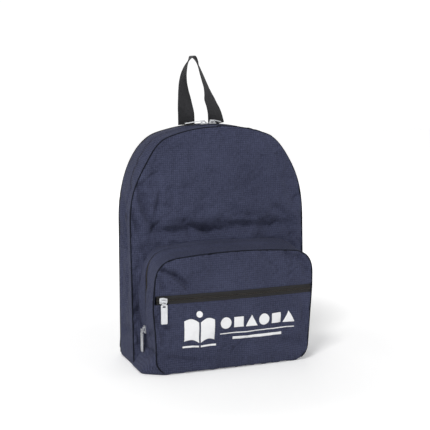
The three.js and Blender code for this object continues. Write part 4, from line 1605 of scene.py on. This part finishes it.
inset_outline = body_outline - outward(body_outline) * 0.0012
pad_grid = body_grid(inset_outline, 60, 80, 0.002)
x, z = pad_grid[..., 0], pad_grid[..., 1]
gap = nearest_on(inset_outline[::4], x, z)[0]
thick = (PAD_DEPTH - 0.0045) * (0.55 + 0.45 * smooth(gap, 0, 0.010)) * 0.5
middle = (back_low.y + back_high.y) / 2
faces = [np.stack([x, middle + sign * thick, z], -1) for sign in (1, -1)]
around = np.concatenate([faces[0], faces[1][:, ::-1], faces[0][:, :1]], 1)
pad = grid_mesh("padded_back", around, around[..., :2], NAVY)
close_up(pad)
puff(pad, 0.006, 3.0, 0.006)
CHANNELS = ((-0.052, 0.040, 0.345), (0.052, 0.040, 0.345))  # x, and z from and to
BORDER_INSET = 0.013  # how far the border's stitches lie inside the outline


def quilted(places):
    """Pulls the pad in along its sewn channels and its border."""
    x, y, z = places.T
    border, _, out = nearest_on(body_outline[::3], x, z)
    rim = border[z > 0.05].min()
    reach = (rim - 0.0014) * (1 - smooth(border, rim, rim + 0.016))
    x, z = x + out[:, 0] * reach, np.maximum(z + out[:, 1] * reach, 0.0)
    press = 0.55 * bump(border, BORDER_INSET, 0.0028)
    for line_x, low, high in CHANNELS:
        inside = smooth(z, low - 0.004, low + 0.004) * (1 - smooth(z, high - 0.004, high + 0.004))
        press = np.maximum(press, 0.62 * bump(x, line_x, 0.0034) * inside)
    y = middle + (y - middle) * (1 - press)
    return np.stack([x, np.minimum(y, back_high.y + 0.001), z], 1)


move_vertices(pad, quilted)
clad(pad)
sewn(pad, "bag", "navy_cloth", "back_panel", "back_foam")

pad_tree = tree_of(pad)


def on_back(points, lift):
    """Places x, z points on the back pad's outer face."""
    placed = []
    for a, b in points:
        hit = pad_tree.ray_cast(Vector((a, 1, b)), Vector((0, -1, 0)))[0]
        placed.append((a, (hit.y if hit else back_high.y) + lift, b))
    return np.array(placed)


border_line = body_outline[body_outline[:, 1] > 0.016]
border_line = evenly(border_line - outward(border_line) * BORDER_INSET, 420)
BACK_STITCH_LIFT = 0.0002
lines = [(on_back(border_line, BACK_STITCH_LIFT), (0, 1, 0))]
for line_x, low, high in CHANNELS:
    column = np.stack([np.full(120, line_x), np.linspace(low, high, 120)], 1)
    lines.append((on_back(column, BACK_STITCH_LIFT), (0, 1, 0)))
stitches("back_pad_stitches", lines, "bag")

# ---- Shoulder straps ----
# Each is a foam pad covered in the same cloth, bound along both edges with black tape.
# Its top is sewn under a reinforcement patch, and its end narrows to hold the buckle.
STRAP_WIDTH, STRAP_END_WIDTH = 0.060, 0.040
STRAP_CORE, STRAP_BINDING = 0.0075, 0.0030  # thicknesses of the foam and of its bound edge
back_face_y = back_high.y
lock_low, lock_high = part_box("ladder_lock_right")
LOCK_X = (lock_low.x + lock_high.x) / 2
LOCK_Z = (lock_low.z + lock_high.z) / 2
LOCK_Y = (lock_low.y + lock_high.y) / 2


def strap_route(side):
    points = [
        (side * 0.0440, back_face_y + 0.0065, 0.3485),
        (side * 0.0452, back_face_y + 0.0130, 0.3370),
        (side * 0.0520, back_face_y + 0.0260, 0.3120),
        (side * 0.066, back_face_y + 0.035, 0.255),
        (side * 0.080, back_face_y + 0.033, 0.200),
        (side * LOCK_X, back_face_y + 0.022, LOCK_Z + 0.021),
    ]
    return evenly(smooth_path(points, 200), 110)


def sideways(path):
    run = unit(np.gradient(path, axis=0))
    return np.stack([-run[:, 2], 0 * run[:, 0], run[:, 0]], 1)


for word, side in (("left", -1), ("right", 1)):
    route = strap_route(side)
    share = np.linspace(0, 1, len(route))
    widths = STRAP_WIDTH + (STRAP_END_WIDTH - STRAP_WIDTH) * smooth(share, 0.2, 1)
    across = sideways(route)
    pad = webbing_strip(
        f"strap_pad_{word}", route, across, widths - 0.009, STRAP_CORE, NAVY, 0, 3
    )
    puff(pad, 0.004, 3.5, 0.0025)
    clad(pad)
    sewn(pad, "bag", "navy_cloth", f"shoulder_strap_{word}")
    rim = webbing_strip(
        f"strap_binding_{word}", route, across, widths - 0.001, STRAP_BINDING, TAPE, 0, 5
    )
    sewn(rim, "bag", "black_tape")
    run = unit(np.gradient(route, axis=0))
    lines = []
    for edge in (-1, 1):
        for face in (-1, 1):
            out = np.cross(across, run) * face
            line = route + across * (edge * (widths / 2 - 0.0028))[:, None] + out * 0.0016
            lines.append((line[2:-2], out[2:-2]))
    stitches(f"strap_stitches_{word}", lines, "bag")

# ---- Strap reinforcement ----
# A doubled patch of black webbing cloth covers the tops of both straps. Box stitches
# with a cross hold it to the back panel.
yoke_low, yoke_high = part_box("strap_yoke")


def cloth_patch(name, corners, low_y, high_y, finish, columns=24, rows=12):
    """A flat sewn patch with rounded edges, from four corners given as x and z."""
    a, b, c, d = (np.array(p, float) for p in corners)
    u = np.linspace(0, 1, columns)[None, :, None]
    v = np.linspace(0, 1, rows)[:, None, None]
    flat = (1 - u) * (1 - v) * a + u * (1 - v) * b + u * v * c + (1 - u) * v * d
    x, z = flat[..., 0], flat[..., 1]
    across, up = np.minimum(u, 1 - u)[..., 0], np.minimum(v, 1 - v)[..., 0]
    edge = np.minimum(across * columns, up * rows)
    crown = smooth(edge, -0.4, 1.6)
    uneven = 0.0003 * ruffle(x, z, 90, 4.4)
    top = low_y + (high_y - low_y) * (0.35 + 0.65 * crown) + uneven
    outer, inner = (np.stack([x, y, z], -1) for y in (top, np.full_like(x, low_y)))
    around = np.concatenate([outer, inner[:, ::-1], outer[:, :1]], 1)
    return close_up(grid_mesh(name, around, around[..., (0, 2)], finish))


yoke = cloth_patch(
    "strap_reinforcement",
    (
        (yoke_low.x, yoke_low.z),
        (yoke_high.x, yoke_low.z),
        (yoke_high.x, yoke_high.z - 0.007),
        (yoke_low.x, yoke_high.z - 0.007),
    ),
    yoke_low.y - 0.001,
    yoke_high.y,
    WEBBING,
    60,
    18,
)
sewn(yoke, "bag", "black_webbing", "strap_yoke")


def box_stitch(x_low, x_high, z_low, z_high, y):
    """The lines of a sewn box with a cross in it."""
    corners = [(x_low, z_low), (x_high, z_low), (x_high, z_high), (x_low, z_high), (x_low, z_low)]
    runs = [corners, [corners[0], corners[2]], [corners[1], corners[3]]]
    lines = []
    for run in runs:
        path = evenly(run, 60)
        lines.append((np.stack([path[:, 0], np.full(60, y), path[:, 1]], 1), (0, 1, 0)))
    return lines


box_lines = []
for low, high in ((-0.070, -0.016), (0.016, 0.070)):
    heights = (yoke_low.z + 0.005, yoke_high.z - 0.012)
    box_lines += box_stitch(low, high, *heights, yoke_high.y + STITCH["lift"])
stitches("reinforcement_stitches", box_lines, "bag")

# ---- Buckles and lower webbing ----
# Moulded ladder locks join the straps to 25 mm webbing. One length runs down to a tab
# that is sewn at the base's corner, and its free tail hangs from the buckle.
LOCK_PLASTIC = moulded("buckle_plastic", (0.010, 0.010, 0.011), (0.040, 0.040, 0.043), 0.34)
for word in ("left", "right"):
    soften(f"ladder_lock_{word}", LOCK_PLASTIC, 0.0008)

LOWER_WEBBING = (0.025, 0.0016)  # width and thickness


def webbing_along(name, points, steps):
    """A length of the lower webbing on a smooth path through points."""
    route = evenly(smooth_path(points, 120), steps)
    return webbing_strip(name, route, sideways(route), *LOWER_WEBBING, WEBBING, 0.0001)


for word, side in (("left", -1), ("right", 1)):
    lower_points = [
        (side * LOCK_X, LOCK_Y - 0.0036, LOCK_Z + 0.002),
        (side * (LOCK_X + 0.002), LOCK_Y - 0.006, LOCK_Z - 0.018),
        (side * (LOCK_X + 0.014), LOCK_Y - 0.014, 0.066),
        (side * (LOCK_X + 0.026), back_face_y + 0.0044, 0.036),
    ]
    lower = webbing_along(f"lower_strap_{word}", lower_points, 70)
    sewn(lower, "bag", "black_webbing", f"lower_webbing_{word}")
    tail_points = [
        (side * LOCK_X, LOCK_Y + 0.0036, LOCK_Z + 0.002),
        (side * LOCK_X, LOCK_Y + 0.006, LOCK_Z - 0.022),
        (side * LOCK_X, LOCK_Y + 0.007, LOCK_Z - 0.062),
        (side * LOCK_X, LOCK_Y + 0.006, LOCK_Z - 0.104),
    ]
    tail = webbing_along(f"loose_tail_{word}", tail_points, 60)
    sewn(tail, f"tail_{word}", "black_webbing", f"webbing_tail_{word}")
    tab_low, tab_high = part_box(f"anchor_tab_{word}")
    corners = np.array([(0.148, 0.010), (0.148, 0.064), (0.104, 0.044), (0.108, 0.028)])
    tab = cloth_patch(
        f"anchor_patch_{word}", corners * (side, 1), tab_low.y - 0.001, tab_high.y, WEBBING
    )
    sewn(tab, "bag", "black_webbing", f"anchor_tab_{word}")
    corners = np.array([(0.143, 0.016), (0.143, 0.056), (0.109, 0.041), (0.112, 0.031)])
    path = evenly(np.vstack([corners, corners[:1]]) * (side, 1), 90)
    line = np.stack([path[:, 0], np.full(90, tab_high.y + STITCH["lift"]), path[:, 1]], 1)
    stitches(f"anchor_stitches_{word}", [(line, (0, 1, 0))], "bag")

# ---- Floor and light ----
# A plain pale floor and a bright, even studio: a soft light from the upper left, with
# weaker ones from the right, from low on the left and from behind.
floor_mesh = bpy.data.meshes.new("floor")
reach = 6.0
floor_mesh.from_pydata(
    [(-reach, -reach, 0), (reach, -reach, 0), (reach, reach, 0), (-reach, reach, 0)],
    [],
    [(0, 1, 2, 3)],
)
floor = placed("floor", floor_mesh)
floor_finish, start, shader = new_finish("pale_floor", Roughness=0.9)
place = start.place()
mottle = start.mottle(place, 3.0)
far = start.node("VectorMath", {"operation": "LENGTH"}, {0: place}, out=1)
shine = far.ramp((0.3, 0.0), (2.6, 1.0)).between((0.2, 0.2, 0.2), (0.62, 0.62, 0.62))
paint(
    shader,
    start,
    Base_Color=mottle.between((0.86, 0.86, 0.86), (0.9, 0.9, 0.9)),
    Emission_Color=shine,
)
shader.inputs["Emission Strength"].default_value = 1.0
floor_mesh.materials.append(floor_finish)
world = bpy.data.worlds.new("studio")
world.use_nodes = True
studio = Wire(world.node_tree)
seen = studio.node("LightPath", {}, {}, out=0)
glow = 0.42 + 0.63 * seen
background = world.node_tree.nodes["Background"]
world.node_tree.links.new(glow.socket, background.inputs["Strength"])
background.inputs["Color"].default_value = (1, 1, 1, 1)
bpy.context.scene.world = world
for label, place, size, power in (  # in metres and watts
    ("key", (-1.25, -1.5, 2.3), 0.7, 44),
    ("fill", (1.9, -1.2, 1.2), 1.8, 6),
    ("side", (-2.3, 0.1, 0.5), 1.2, 5),
    ("rim", (0.3, 1.8, 1.8), 1.6, 14),
):
    lamp = bpy.data.lights.new(label, "AREA")
    lamp.size = size
    lamp.energy = power
    holder = placed(label, lamp)
    holder.location = place
    aim = Vector((0, 0, 0.22)) - holder.location
    holder.rotation_euler = aim.to_track_quat("-Z", "Y").to_euler()
bpy.context.scene.view_settings.view_transform = "Standard"
